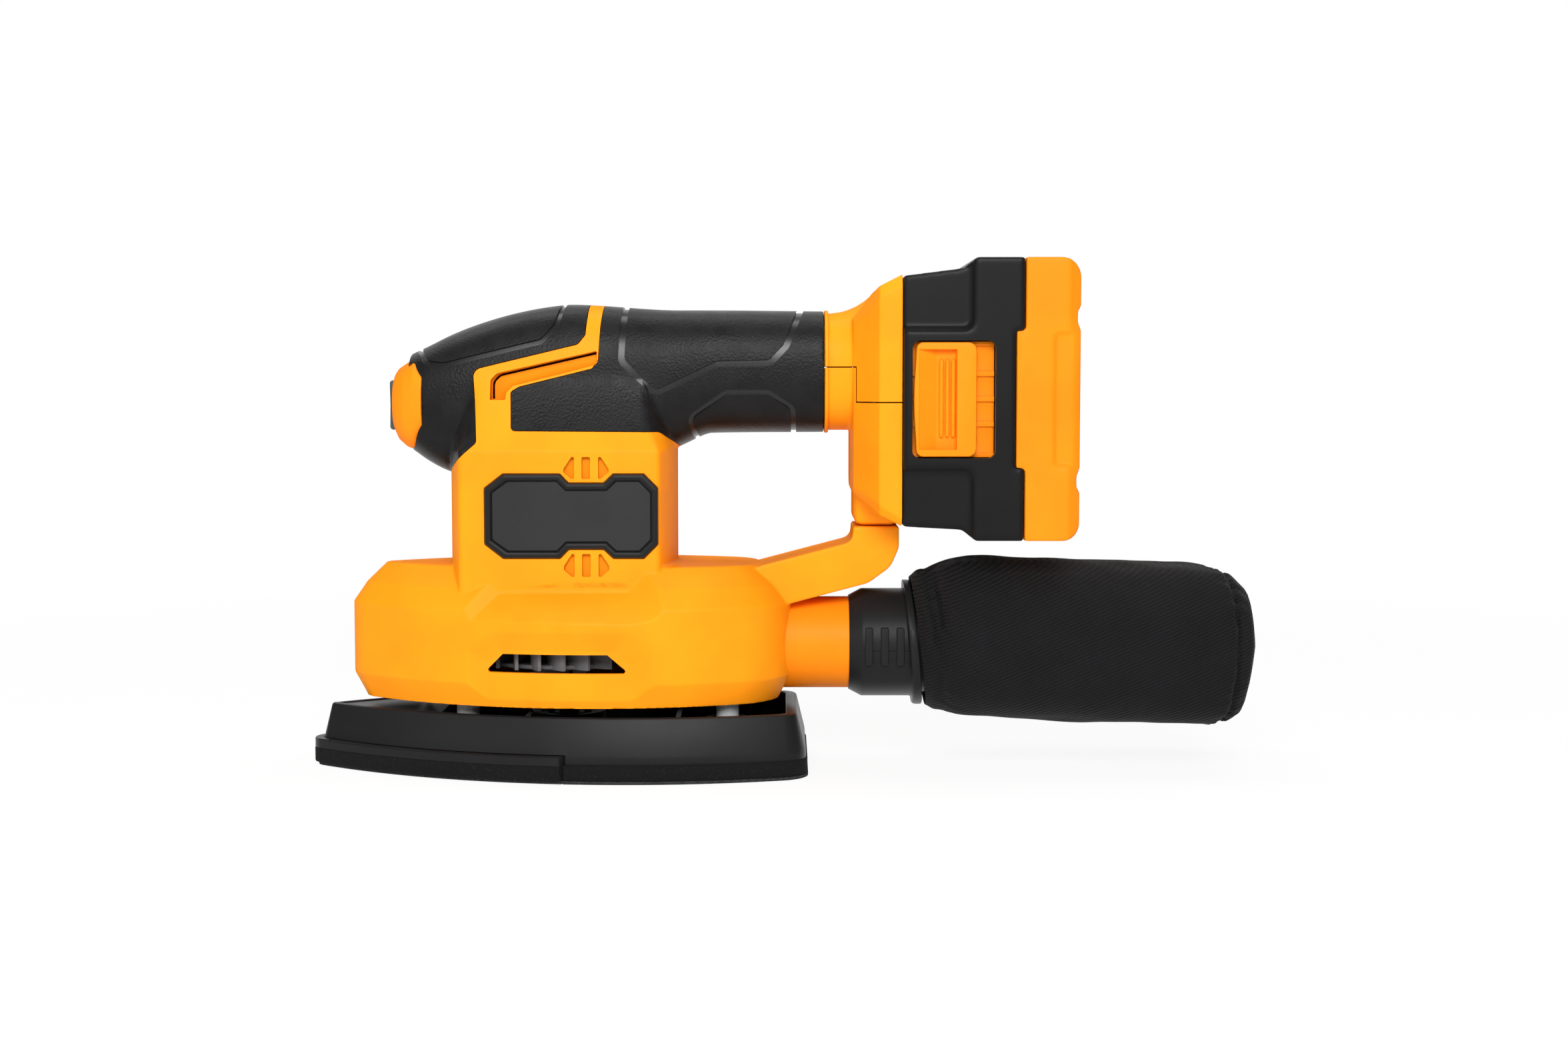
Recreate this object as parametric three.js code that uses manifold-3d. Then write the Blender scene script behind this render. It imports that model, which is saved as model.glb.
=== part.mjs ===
// Cordless multi-sander: a battery-powered sander with an iron-shaped orbiting pad, a D-shaped
// handle, a slide-on battery pack behind the handle and a cloth dust bag on the rear port.
//
// Millimetres. +X runs from the tip of the pad towards the dust bag, +Z is up, and the origin is
// where the motor's axis meets the sanding face. The right-hand side of the tool is at -Y.

import * as THREE from "three";
import { ConvexGeometry } from "three/addons/geometries/ConvexGeometry.js";
import { mergeVertices } from "three/addons/utils/BufferGeometryUtils.js";
import Module from "manifold-3d";

const wasm = await Module();
wasm.setup();

// ---------------------------------------------------------------- driving sizes

const overallLength = 365.3; // from the tip of the pad to the end of the dust bag

// Clearances and walls
const gap = 0.3; // between two pieces that seat on each other
const wall = 2.5; // moulded housing wall
const runningGap = 0.6; // between a piece that turns or slides and what guides it

// Orbiting pad
const orbitRadius = 1; // throw of the eccentric pin
const padTip = 98.5; // from the motor's axis forward to the tip of the pad
const padBack = 93.5; // from the motor's axis back to the rear edge
const padHalfWidth = 46.5;
const padWidest = 25; // where the pad is widest, behind the motor's axis
const padTipRadius = 7;
const padCornerRadius = 13;
const hookThickness = 1.2;
const foamThickness = 5.8;
const tipPlateThickness = 3.6;
const tipPlateBack = 12; // how far the tip plate's bowed back edge reaches behind the axis
const tipPlateBow = 120; // radius of that edge
const plateOverhang = 0.4; // the tip plate stands out this far past the hook sheet
const trayLedge = 2.2; // the foam stands out this far all round the tray
const trayLean = 3.4; // the tray's wall leans in by this much from bottom to top
const trayTop = 24; // height of the tray's rim
const trayWall = 3.1;
const trayFloor = 4.4; // thickness of the tray's floor

// Pad drive
const bearingOuter = 22;
const bearingInner = 8;
const bearingWidth = 7;
const bearingRing = 2; // thickness of each bearing ring
const bearingBalls = 7;
const shaftDiameter = 5;
const postDiameter = 13; // rubber posts that keep the pad from spinning
const postFrontX = 37; // in front of the axis
const postFrontY = 18;
const postRearX = 60; // behind the axis
const postRearY = 21;

// Lower housing
const baseFront = 82.5; // from the motor's axis forward
const baseBack = 86.5;
const baseHalfWidth = 45;
const baseWidest = 14;
const baseFrontRadius = 17;
const baseBackRadius = 34;
const baseBottom = 27.6;
const baseWallLow = 37; // the upright wall runs between these heights
const baseWallHigh = 64.5;
const baseTop = 79.6;
const baseLowChamfer = 4.6;
const baseTopChamfer = 13;
const scarfTop = 70.4; // the column's faces run down into the base as far as this
const scarfBottom = 60.2; // and slope out to the wall here
const recessDepth = 3.2; // of the exhaust recess low on each side
const slotHeight = 5.8; // of the exhaust slot
const slotLow = 42.4;
const basePlateThickness = 1.6;

// Motor column
const columnFront = 43.4; // from the motor's axis to the middle of its bowed front
const columnBack = 43.8;
const columnHalfWidth = 32.5;
const columnFrontBow = 6.8; // the front's middle stands out this far past its corners
const columnBackBow = 5.5;
const columnCorner = 2.4;
const shoulderHeight = 19; // the sides slope in over this height
const shoulderOverlap = 11.4; // how far the shoulder reaches up into the handle
const badgeMiddle = 99.2; // height of the middle of the badge
const badgeHalfHeight = 15.8;
const badgeFront = 27; // in front of the motor's axis
const badgeBack = 38; // behind it

// Motor and fan
const motorDiameter = 37;
const motorBottom = 61;
const motorLength = 58;
const fanDiameter = 73;
const fanBlades = 11;
const fanDisc = 41; // height of the underside of the fan's disc
const fanDiscThickness = 1.6;
const fanBladeHeight = 10;

// Handle barrel, which also forms the nose
const noseEnd = 58.5; // in front of the motor's axis
const handleEnd = 100.4; // behind the axis
const handleTop = 177;
const handleHeight = 47.4;
const handleHalfWidth = 20.5;
const gripThickness = 2;
const grooveDepth = 0.7;
const switchRise = 10.9; // height of the rocker's pivot above the handle's underside
const rockerHeight = 19.4;
const rockerWidth = 13.6;

// Battery foot behind the handle
const ringLength = 1.4; // collar between the grip and the foot
const neckLength = 10;
const footDepth = 17.5; // from the front of the foot to the battery's face
const footHalfWidth = 37;
const railSpacing = 48; // between the two rails that the battery slides on

// Battery pack
const packDepth = 66.4;
const packHalfWidth = 39;
const packHeight = 105.2;
const packDrop = 10.4; // the pack's middle lies this far below the handle's axis
const packStep = 24; // depth of the narrower part beside the foot
const packCover = 21.6; // depth of the orange cover at the back
const packShoulder = 5.2; // the narrow part is this much shorter at each end
const packWall = 2.4;
const buttonTravel = 6.5;
const buttonHeight = 42.4;
const buttonWidth = 23.2;
const cellDiameter = 18.6;
const cellLength = 65;

// Dust extraction
const portDiameter = 35.6;
const portHeight = 47.9; // height of the port's axis
const portEnd = 111; // behind the motor's axis
const portWall = 2.2;
const collarLength = 23.4;
const collarDiameter = 41.6;
const flangeDiameter = 47.6;
const bagWidth = 70;

// Screws that join the housing shells
const screwDiameter = 3.5;
const screwHead = 6.6;
const bossDiameter = 7.4;

// Heights and places that follow from the sizes above
const underside = handleTop - handleHeight;
const barrelAxis = handleTop - handleHeight / 2;
const columnTop = underside + shoulderOverlap;
const columnShoulder = columnTop - shoulderHeight;
const switchMiddle = underside + switchRise;
const packMiddle = barrelAxis - packDrop;
const packLow = packMiddle - packHeight / 2;
const packHigh = packMiddle + packHeight / 2;
const footLow = packLow + packShoulder;
const footHigh = packHigh - packShoulder - 1;
const footSplit = packMiddle - 1.1; // the joint between the foot's two shells
const terminalMiddle = packMiddle - 0.9;

// ---------------------------------------------------------------- shape tools

const V2 = (x, y) => new THREE.Vector2(x, y);
const V3 = (x, y, z) => new THREE.Vector3(x, y, z);

// A three.js geometry as a manifold solid.
function solid(geometry) {
  const bare = geometry.clone();
  for (const name of ["normal", "uv"]) bare.deleteAttribute(name);
  const merged = mergeVertices(bare, 1e-4);
  return new wasm.Manifold(
    new wasm.Mesh({
      numProp: 3,
      vertProperties: new Float32Array(merged.attributes.position.array),
      triVerts: new Uint32Array(merged.index.array),
    }),
  );
}

// A manifold solid as a three.js geometry.
function geometryOf(shape) {
  const mesh = shape.getMesh();
  const made = new THREE.BufferGeometry();
  made.setAttribute("position", new THREE.BufferAttribute(mesh.vertProperties, 3));
  made.setIndex(new THREE.BufferAttribute(mesh.triVerts, 1));
  const flat = made.toNonIndexed();
  flat.computeVertexNormals();
  return flat;
}

const join = (...shapes) => shapes.flat().reduce((all, one) => all.add(one));
const cut = (shape, ...tools) => tools.flat().reduce((left, tool) => left.subtract(tool), shape);
const common = (a, b) => a.intersect(b);

// The largest of the separate bodies in a shape, for cuts that leave crumbs at the edges.
const largest = (shape) => shape.decompose().sort((a, b) => b.volume() - a.volume())[0];

// Points of an arc about (x, y), from one angle to another, both in degrees.
function arc(x, y, radius, from, to, steps) {
  return Array.from({ length: steps + 1 }, (_, i) => {
    const angle = THREE.MathUtils.degToRad(from + ((to - from) * i) / steps);
    return V2(x + radius * Math.cos(angle), y + radius * Math.sin(angle));
  });
}

// A closed outline through corners [x, y, radius], each rounded by an arc of that radius.
function rounded(corners, steps = 3) {
  const points = [];
  corners.forEach(([x, y, radius = 0], i) => {
    const here = V2(x, y);
    const [bx, by] = corners[(i + corners.length - 1) % corners.length];
    const [ax, ay] = corners[(i + 1) % corners.length];
    const back = V2(bx, by).sub(here);
    const ahead = V2(ax, ay).sub(here);
    const reach = Math.min(back.length(), ahead.length()) * 0.49;
    const half = Math.acos(THREE.MathUtils.clamp(back.dot(ahead) / back.length() / ahead.length(), -1, 1)) / 2;
    const tangent = Math.min(radius / Math.tan(half), reach);
    if (tangent < 0.01) {
      points.push(here);
      return;
    }
    const start = here.clone().addScaledVector(back.normalize(), tangent);
    const end = here.clone().addScaledVector(ahead.normalize(), tangent);
    const used = tangent * Math.tan(half);
    const centre = here.clone().addScaledVector(back.add(ahead).normalize(), used / Math.sin(half));
    for (let k = 0; k <= steps; k += 1) {
      const along = start.clone().lerp(end, k / steps).sub(centre);
      points.push(centre.clone().addScaledVector(along.normalize(), used));
    }
  });
  return points;
}

// A prism of an outline, run along one axis between two places.
function prism(axis, points, from, to) {
  const made = new THREE.ExtrudeGeometry(new THREE.Shape(points), {
    depth: to - from,
    bevelEnabled: false,
  });
  const turn = new THREE.Matrix4();
  if (axis === "x") turn.makeBasis(V3(0, 1, 0), V3(0, 0, 1), V3(1, 0, 0));
  if (axis === "y") turn.makeBasis(V3(1, 0, 0), V3(0, 0, 1), V3(0, -1, 0));
  made.applyMatrix4(turn);
  const place = { x: [from, 0, 0], y: [0, to, 0], z: [0, 0, from] }[axis];
  return solid(made.translate(...place));
}

function box(x0, x1, y0, y1, z0, z1) {
  const made = new THREE.BoxGeometry(x1 - x0, y1 - y0, z1 - z0);
  return solid(made.translate((x0 + x1) / 2, (y0 + y1) / 2, (z0 + z1) / 2));
}

// A round bar along an axis, centred on (a, b) of the other two axes.
function rod(axis, radius, from, to, a = 0, b = 0, sides = 20) {
  const circle = arc(a, b, radius, 0, 360 - 360 / sides, sides - 1);
  return prism(axis, circle, from, to);
}

// A solid of revolution about Z. The profile [radius, z] starts and ends on the axis or closes.
function turned(profile, sides = 24) {
  const made = new THREE.LatheGeometry(profile.map(([r, z]) => V2(r, z)), sides);
  return solid(made.rotateX(Math.PI / 2));
}

// A turned ring with a rectangular section.
function ring(inner, outer, low, high, sides = 24) {
  return turned([[inner, low], [outer, low], [outer, high], [inner, high], [inner, low]], sides);
}

// A solid through closed rings of points, each ring with as many points as the next.
function loft(rings) {
  const count = rings[0].length;
  const points = rings.flat();
  const middle = (r) => r.reduce((sum, p) => sum.add(p), V3(0, 0, 0)).divideScalar(count);
  points.push(middle(rings[0]), middle(rings.at(-1)));
  const faces = [];
  for (let r = 0; r < rings.length - 1; r += 1)
    for (let i = 0; i < count; i += 1) {
      const a = r * count + i;
      const b = r * count + ((i + 1) % count);
      faces.push(a, b, b + count, a, b + count, a + count);
    }
  const last = (rings.length - 1) * count;
  for (let i = 0; i < count; i += 1) {
    const next = (i + 1) % count;
    faces.push(next, i, rings.length * count);
    faces.push(last + i, last + next, rings.length * count + 1);
  }
  const made = new THREE.BufferGeometry().setFromPoints(points);
  made.setIndex(faces);
  return solid(made);
}

const hull = (points) => solid(new ConvexGeometry(points.map((p) => V3(...p))));

// An oval between four sides in the YZ plane. A power of 2 is an ellipse, a higher one is squarer.
function oval(x, halfWidth, low, high, power = 2.5, sides = 18) {
  const middle = (low + high) / 2;
  const half = (high - low) / 2;
  return Array.from({ length: sides }, (_, i) => {
    const angle = (2 * Math.PI * (i + 0.5)) / sides;
    const c = Math.cos(angle);
    const s = Math.sin(angle);
    const y = Math.sign(c) * Math.abs(c) ** (2 / power) * halfWidth;
    return V3(x, y, middle + Math.sign(s) * Math.abs(s) ** (2 / power) * half);
  });
}

// The band that follows a line of points at half its width on either side, as an outline.
function band(line, width) {
  const side = (sign) =>
    line.map(([x, z], i) => {
      const [bx, bz] = line[Math.max(i - 1, 0)];
      const [ax, az] = line[Math.min(i + 1, line.length - 1)];
      const along = V2(ax - bx, az - bz).normalize();
      return V2(x - (along.y * sign * width) / 2, z + (along.x * sign * width) / 2);
    });
  return [...side(-1), ...side(1).reverse()];
}

// ---------------------------------------------------------------- materials

const finish = (color, roughness, metalness = 0) =>
  new THREE.MeshStandardMaterial({ color, roughness, metalness });

const orange = finish(0xff9c14, 0.5);
const black = finish(0x232323, 0.6);
const rubberGrip = finish(0x1c1c1c, 0.85);
const charcoal = finish(0x3a3a3c, 0.45);
const foamBlack = finish(0x161616, 0.95);
const hookBlack = finish(0x2b2b2b, 1);
const rubberGrey = finish(0xb9bcbc, 0.8);
const bootGrey = finish(0x4c5552, 0.6);
const steel = finish(0x9a9da1, 0.35, 1);
const copper = finish(0xb66a3a, 0.4, 1);
const cloth = finish(0x151516, 0.95);
const cellBlue = finish(0x2f6f9f, 0.5);
const wireRed = finish(0xa11d1d, 0.5);

const sander = new THREE.Group();
const group = (...place) => {
  const made = new THREE.Group();
  made.position.set(...place);
  sander.add(made);
  return made;
};
function piece(parent, name, shape, material, detail = 0.08) {
  const mesh = new THREE.Mesh(geometryOf(largest(shape.simplify(detail))), material);
  mesh.name = name;
  parent.add(mesh);
  return mesh;
}

// ---------------------------------------------------------------- iron-shaped outlines

// An iron seen from above: a rounded tip, two long side arcs that are tangent to it, and a
// straight back between rounded corners. inset moves the whole outline inwards.
function iron({ front, back, half, widest, tip, corner }, inset = 0, steps = 5) {
  const tipRadius = Math.max(tip - inset, 0.5);
  const cornerRadius = Math.max(corner - inset, 0.5);
  const width = half - inset;
  const tipX = -front + inset + tipRadius;
  const reach = widest - tipX;
  const side = (reach ** 2 + width ** 2 - tipRadius ** 2) / (2 * (width - tipRadius));
  const sideY = width - side;
  const cornerX = back - inset - cornerRadius;
  const cornerY = sideY + Math.sqrt((side - cornerRadius) ** 2 - (cornerX - widest) ** 2);
  const degrees = (y, x) => THREE.MathUtils.radToDeg(Math.atan2(y, x));
  const tipAngle = degrees(-sideY, tipX - widest);
  const cornerAngle = degrees(cornerY - sideY, cornerX - widest);
  const upper = [
    ...arc(cornerX, cornerY, cornerRadius, 0, cornerAngle, 3).slice(0, -1),
    ...arc(widest, sideY, side, cornerAngle, tipAngle, steps).slice(0, -1),
    ...arc(tipX, 0, tipRadius, tipAngle, 180, 3),
  ];
  const lower = upper.slice(0, -1).map((p) => V2(p.x, -p.y));
  return [...upper, ...lower.reverse()];
}
const atHeight = (outline, z) => outline.map((p) => V3(p.x, p.y, z));

// ---------------------------------------------------------------- pad

const padPlan = {
  front: padTip,
  back: padBack,
  half: padHalfWidth,
  widest: padWidest,
  tip: padTipRadius,
  corner: padCornerRadius,
};
const foamTop = hookThickness + foamThickness;
const tipPlateTop = foamTop + tipPlateThickness;
const trayInside = foamTop + trayFloor; // height of the tray's floor
const dustHole = 4; // radius
const bowCentre = tipPlateBack - tipPlateBow;

// Everything in front of the tip plate's bowed back edge, or with a margin behind it.
const inFront = (margin) =>
  rod("z", tipPlateBow + margin, -1, trayTop, bowCentre, 0, 48);

const tipHoles = [60, 180, 300, 0, 120, 240].map((angle) => {
  const turn = THREE.MathUtils.degToRad(angle);
  const radius = 23;
  return [-42 + radius * Math.cos(turn), radius * Math.sin(turn)];
});
const rearHoles = [-1, 1].flatMap((side) => [
  [30, 29 * side],
  [78, 24 * side],
]);
const holes = (places, low, high, radius = dustHole) =>
  places.map(([x, y]) => rod("z", radius, low, high, x, y, 8));

function padLayer(outlineInset, low, high, front) {
  const whole = prism("z", iron(padPlan, outlineInset), low, high);
  const margin = front ? 0 : runningGap;
  const part = front ? common(whole, inFront(margin)) : cut(whole, inFront(margin));
  return cut(part, holes(front ? tipHoles : rearHoles, low - 1, high + 1));
}

const posts = [
  [-postFrontX, -postFrontY],
  [-postFrontX, postFrontY],
  [postRearX, -postRearY],
  [postRearX, postRearY],
];
const bearingSeat = trayInside + 2; // underside of the pad bearing
const bearingTop = bearingSeat + bearingWidth;
const bossTop = bearingTop + 0.8;
const tipScrewX = -42;

// The black tray that carries the foam and turns on the eccentric: a leaning rim, a floor,
// a bearing housing with ribs to the rim, and sockets for the rubber posts.
function padTray() {
  const outside = loft([
    atHeight(iron(padPlan, trayLedge), foamTop),
    atHeight(iron(padPlan, trayLedge), foamTop + 2.4),
    atHeight(iron(padPlan, trayLedge + trayLean), trayTop),
  ]);
  const pocket = loft([
    atHeight(iron(padPlan, trayLedge + trayLean * 0.3 + trayWall), trayInside),
    atHeight(iron(padPlan, trayLedge + trayLean + trayWall), trayTop + 0.01),
  ]);
  const reach = padBack + padTip;
  const ribHeight = trayInside + 5;
  const rib = (x0, y0, x1, y1) =>
    prism("z", band([[x0, y0], [x1, y1]], 2), trayInside - 1, ribHeight);
  const ribs = join(
    rib(-reach, 0, reach, 0),
    rib(-18, -padHalfWidth, -18, padHalfWidth),
    rib(42, -padHalfWidth, 42, padHalfWidth),
  );
  const inside = common(ribs, pocket);
  const bossRadius = bearingOuter / 2 + gap + 3;
  const sockets = posts.map(([x, y]) =>
    rod("z", postDiameter / 2 + 2.2, trayInside - 1, ribHeight, x, y, 8),
  );
  const boss = rod("z", bossRadius, trayInside - 1, bossTop, 0, 0, 16);
  const body = join(cut(outside, pocket), inside, boss, sockets);
  const tipRoom = common(
    prism("z", iron(padPlan, -1), foamTop - 1, tipPlateTop),
    inFront(runningGap),
  );
  return cut(
    body,
    tipRoom,
    holes(tipHoles, foamTop, ribHeight + 1),
    holes(rearHoles, foamTop - 1, ribHeight + 1),
    rod("z", bearingOuter / 2 + gap, bearingSeat, bossTop + 1, 0, 0, 16),
    posts.map(([x, y]) => rod("z", postDiameter / 2 + runningGap, trayInside, trayTop, x, y, 8)),
    rod("z", screwDiameter / 2 + gap, tipPlateTop - 1, trayInside + 1, tipScrewX, 0, 8),
    rod("z", screwHead / 2 + gap, trayInside, trayTop, tipScrewX, 0, 8),
  );
}

// The tip plate: a bowed triangle with a raised lip round the tip.
function tipPlate() {
  const plate = common(
    prism("z", iron(padPlan, -plateOverhang), foamTop, tipPlateTop - gap), inFront(0));
  const lipRoom = prism("z", iron(padPlan, trayLedge - gap), foamTop - 1, trayTop);
  const lip = cut(
    prism("z", iron(padPlan, -plateOverhang), foamTop, tipPlateTop + 1.6), lipRoom);
  const lipped = common(lip, box(-padTip - 5, -padTip + 26, -20, 20, 0, trayTop));
  return cut(
    join(plate, lipped),
    holes(tipHoles, foamTop - 1, tipPlateTop + 1),
    rod("z", screwDiameter / 2 + gap, foamTop - 1, tipPlateTop + 1, tipScrewX, 0, 8),
  );
}

const pad = group(orbitRadius, 0, 0);
piece(pad, "tip_hook_sheet", padLayer(0, 0, hookThickness, true), hookBlack);
piece(pad, "rear_hook_sheet", padLayer(0, 0, hookThickness, false), hookBlack);
piece(pad, "tip_foam", padLayer(-plateOverhang, hookThickness, foamTop, true), foamBlack);
piece(pad, "rear_foam", padLayer(0, hookThickness, foamTop, false), foamBlack);
piece(pad, "tip_plate", tipPlate(), black);
piece(pad, "pad_tray", padTray(), black);

// ---------------------------------------------------------------- housing forms

const wallSteps = 9; // in the curve down each side of the base
const hiddenSteps = 3; // for the sides of outlines that are out of sight
const basePlan = {
  front: baseFront,
  back: baseBack,
  half: baseHalfWidth,
  widest: baseWidest,
  tip: baseFrontRadius,
  corner: baseBackRadius,
};

// The long side of the base's wall, as y for any x, and an outline moved into that wall.
function wallAt(x) {
  const { front, half, widest, tip } = basePlan;
  const reach = widest + front - tip;
  const side = (reach ** 2 + half ** 2 - tip ** 2) / (2 * (half - tip));
  return half - side + Math.sqrt(side ** 2 - (x - widest) ** 2);
}

// On both sides the column's face runs on down into the base, then slopes out to the wall.
// Each row is a place on the column's face and the place that it slopes out to on the wall.
function scarf(side, inset) {
  const corner = scarfTop + 11.6;
  const rows = [
    [-36.4, corner, -39.8, scarfBottom + 6.4],
    [-21.2, scarfTop, -32.4, scarfBottom],
    [0, scarfTop, 0, scarfBottom],
    [26.6, scarfTop, 32.8, scarfBottom],
    [37.4, corner, 41.6, scarfBottom + 6],
  ];
  if (side < 0) rows.reverse();
  const lean = 0.6; // carries each row on past the wall
  return loft(rows.map(([x, z, wallX, wallZ]) => {
    const y = columnHalfWidth - inset * 0.8;
    const outX = wallX + (wallX - x) * lean;
    const outY = wallAt(wallX) + (wallAt(wallX) - columnHalfWidth) * lean;
    const outZ = wallZ + (wallZ - z) * lean - inset * 0.9;
    return [[x, y, z - inset * 0.9], [outX, outY, outZ], [outX, outY, baseTop + 15], [x, y, baseTop + 15]]
      .map(([px, py, pz]) => V3(px, side * py, pz));
  }));
}

// The shallow recess with sloping borders that holds the exhaust slot. Its floor keeps the
// curve of the wall.
const recessOuter = [[-26, 57], [27.6, 57], [36.8, 50.6], [36.8, 22], [-34, 22], [-34, 50.2]];
const recessInner = [[-20, 48.9], [21.8, 48.9], [28.5, 43.8], [28.5, 22], [-26.4, 22], [-26.4, 44.8]];
function exhaustRecess(side, inset) {
  const depth = recessDepth + inset;
  const spread = ([x, z]) => [x + Math.sign(x) * inset, z > 40 ? z + inset : z];
  // Both outlines in short steps, so that they follow the wall.
  const stepped = (corners) => corners.flatMap(([x, z], i) => {
    const [nextX, nextZ] = corners[(i + 1) % corners.length];
    return [0, 1 / 3, 2 / 3].map((t) => [x + (nextX - x) * t, z + (nextZ - z) * t]);
  });
  const ring = (corners, place) =>
    stepped(corners.map(spread)).map(([x, z]) => V3(x, side * place(x), z));
  const rings = [
    ring(recessInner, () => 25),
    ring(recessInner, (x) => wallAt(x) - depth),
    ring(recessOuter, (x) => wallAt(x) + 0.2),
    ring(recessOuter, () => 60),
  ];
  const cutter = loft(side < 0 ? rings.reverse() : rings);
  return cut(cutter, prism("z", iron(basePlan, depth, wallSteps), 10, 90));
}

function baseForm(inset = 0, floor = baseBottom) {
  const at = (more, z) => atHeight(iron(basePlan, inset + more, inset > 0 ? hiddenSteps : wallSteps), z);
  const middle = (baseWallHigh + baseTop) / 2;
  const body = loft([
    at(baseLowChamfer, floor),
    at(baseLowChamfer, baseBottom + 0.6),
    at(0, baseWallLow),
    at(0, baseWallHigh - inset * 0.3),
    at(baseTopChamfer * 0.4, middle - inset * 0.7),
    at(baseTopChamfer, baseTop - inset),
  ]);
  return cut(body, [-1, 1].flatMap((side) => [scarf(side, inset), exhaustRecess(side, inset)]));
}

// The column seen from above: flat sides between a bowed front and a bowed back.
function columnPlan(inset, narrow, z) {
  const half = columnHalfWidth - inset - narrow;
  const end = (x, bow, way) => [-1, -0.5, 0, 0.5, 1].map((share) => {
    const y = way * share * half;
    const bowed = x - Math.sign(x) * bow * (y / columnHalfWidth) ** 2;
    return [bowed, y, Math.abs(share) === 1 ? columnCorner : 0];
  });
  return rounded([
    ...end(columnBack - inset, columnBackBow, 1),
    ...end(inset - columnFront, columnFrontBow, -1),
  ], 2).map((p) => V3(p.x, p.y, z));
}

// The motor column, and its sloping shoulder up into the handle.
const columnForm = (inset, low, high = columnShoulder - inset) =>
  loft([columnPlan(inset, 0, low), columnPlan(inset, 0, high)]);
function shoulderForm(inset) {
  const at = (narrow, rise) =>
    columnPlan(inset, narrow, columnShoulder + rise * shoulderHeight - inset);
  return loft([at(0, -0.2), at(0, 0.21), at(3.6, 0.47), at(7.4, 0.72), at(13, 1)]);
}

const barrelSides = 16;
const hiddenSides = 12; // for surfaces that another piece covers
// Sections of the barrel from the nose to the back of the handle: x, underside, top, half width.
const barrelSections = [
  [-noseEnd, underside - 6.4, handleTop - 16.8, handleHalfWidth - 4.1],
  [6.5 - noseEnd, underside - 11, handleTop - 13.8, handleHalfWidth - 1.7],
  [14.5 - noseEnd, underside - 15, handleTop - 9.8, handleHalfWidth - 0.5],
  [-24, underside - 14.6, handleTop - 2.6, handleHalfWidth],
  [2, underside - 11.6, handleTop + 2.2, handleHalfWidth],
  [44, underside - 5.4, handleTop, handleHalfWidth],
  [56, underside, handleTop, handleHalfWidth],
  [handleEnd, underside + 0.4, handleTop - 0.4, handleHalfWidth],
];
const barrelForm = (inset, frontInset = inset, sides = barrelSides) =>
  loft(barrelSections.map(([x, low, high, half], i) =>
    oval(i === 0 ? x + frontInset : x, half - inset, low + inset, high - inset, 2.5, sides),
  ));

// The arm from the base up to the battery foot.
const armHalfWidth = 16;
const footFront = handleEnd + gap + ringLength + neckLength - 0.4;
const footBack = footFront + footDepth;
const armForm = (inset) =>
  prism("y", rounded([
    [50 + inset, baseTop - 5.6 - inset, 0],
    [footFront - 2.6 + inset, footLow - 4.6 - inset, 3],
    [footFront + inset, footLow - 1.3 - inset, 0.5],
    [footBack - inset, footLow - 1.3 - inset, 0.5],
    [footBack - inset, footLow - 6.5 + inset * 0.5, 6],
    [footBack - 14.2 - inset * 0.4, baseTop - 7.2 + inset, 9],
    [baseBack - 0.5 - inset, baseWallHigh + 1.2 + inset, 0],
    [50 + inset, baseWallHigh - 6.5 + inset, 0],
  ]), -armHalfWidth + inset, armHalfWidth - inset);

// Outlines on the handle are given from the barrel's axis, as [x, height above it].
const onHandle = (points) => points.map(([x, z, ...rest]) => [x, barrelAxis + z, ...rest]);
const outline = (points) => points.map(([x, z]) => V2(x, z));

// Rubber shows between these borders: the nose in front of the orange band, the handle behind
// it. grow widens the region.
const noseRegion = (grow = 0) => prism("y", outline(onHandle([
  [-75, -48.3],
  [-47, -48.3],
  [-44.6 + grow, -38.9],
  [-33.5 + grow, -27.3],
  [-33.8 + grow, -3.7 - grow],
  [-27, -0.9 - grow],
  [7.2 + grow, 7.9 - grow],
  [10 + grow, 10.7 - grow],
  [11.6 + grow, 36.7],
  [-75, 36.7],
])), -60, 60);
const handleRegion = (grow = 0) => prism("y", outline(onHandle([
  [17.4 - grow, 36.7],
  [15.6 - grow, 16.7],
  [15 - grow, 4.1 + grow],
  [12.4, 0.9 + grow],
  [-15, -5.9 + grow],
  [-18 - grow, -7.9 + grow],
  [-17.2 - grow, -22.1 - grow],
  [38, -22.5 - grow],
  [46, -28.9 - grow],
  [52, -43.3],
  [120, -43.3],
  [120, 36.7],
])), -60, 60);

const upperForm = (inset, sides = barrelSides) =>
  join(columnForm(inset, columnShoulder - 20), shoulderForm(inset), barrelForm(inset, inset, sides));
const grippedForm = upperForm(0);
const gripCore = upperForm(gripThickness, hiddenSides);
const shellCore = upperForm(gripThickness + gap, hiddenSides);

// The orange cap over the end of the nose, with ears that lap the sides. Its rings lie ahead of
// the nose's end, about the height of the switch.
const capRing = (ahead, half, low, high, power = 2.5, sides = 16) =>
  oval(-noseEnd - ahead, half, switchMiddle + low, switchMiddle + high, power, sides);
const capForm = (grow = 0) =>
  loft([
    capRing(8.5 + grow, 12.6 + grow, -10.9 - grow, 10.9 + grow),
    capRing(7.7 + grow * 0.5, 14.2 + grow, -12.9 - grow, 12.9 + grow),
    capRing(5.1, 16.2 + grow, -15.9 - grow, 16.3 + grow),
    capRing(0.7, 18.2 + grow, -17.1 - grow, 18.1 + grow),
    capRing(-3.1 - grow, 19.4 + grow, -11.5 - grow, 14.1 + grow),
  ]);

// ---------------------------------------------------------------- housing shells

const housing = group(0, 0, 0);
const portRadius = portDiameter / 2;

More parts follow.
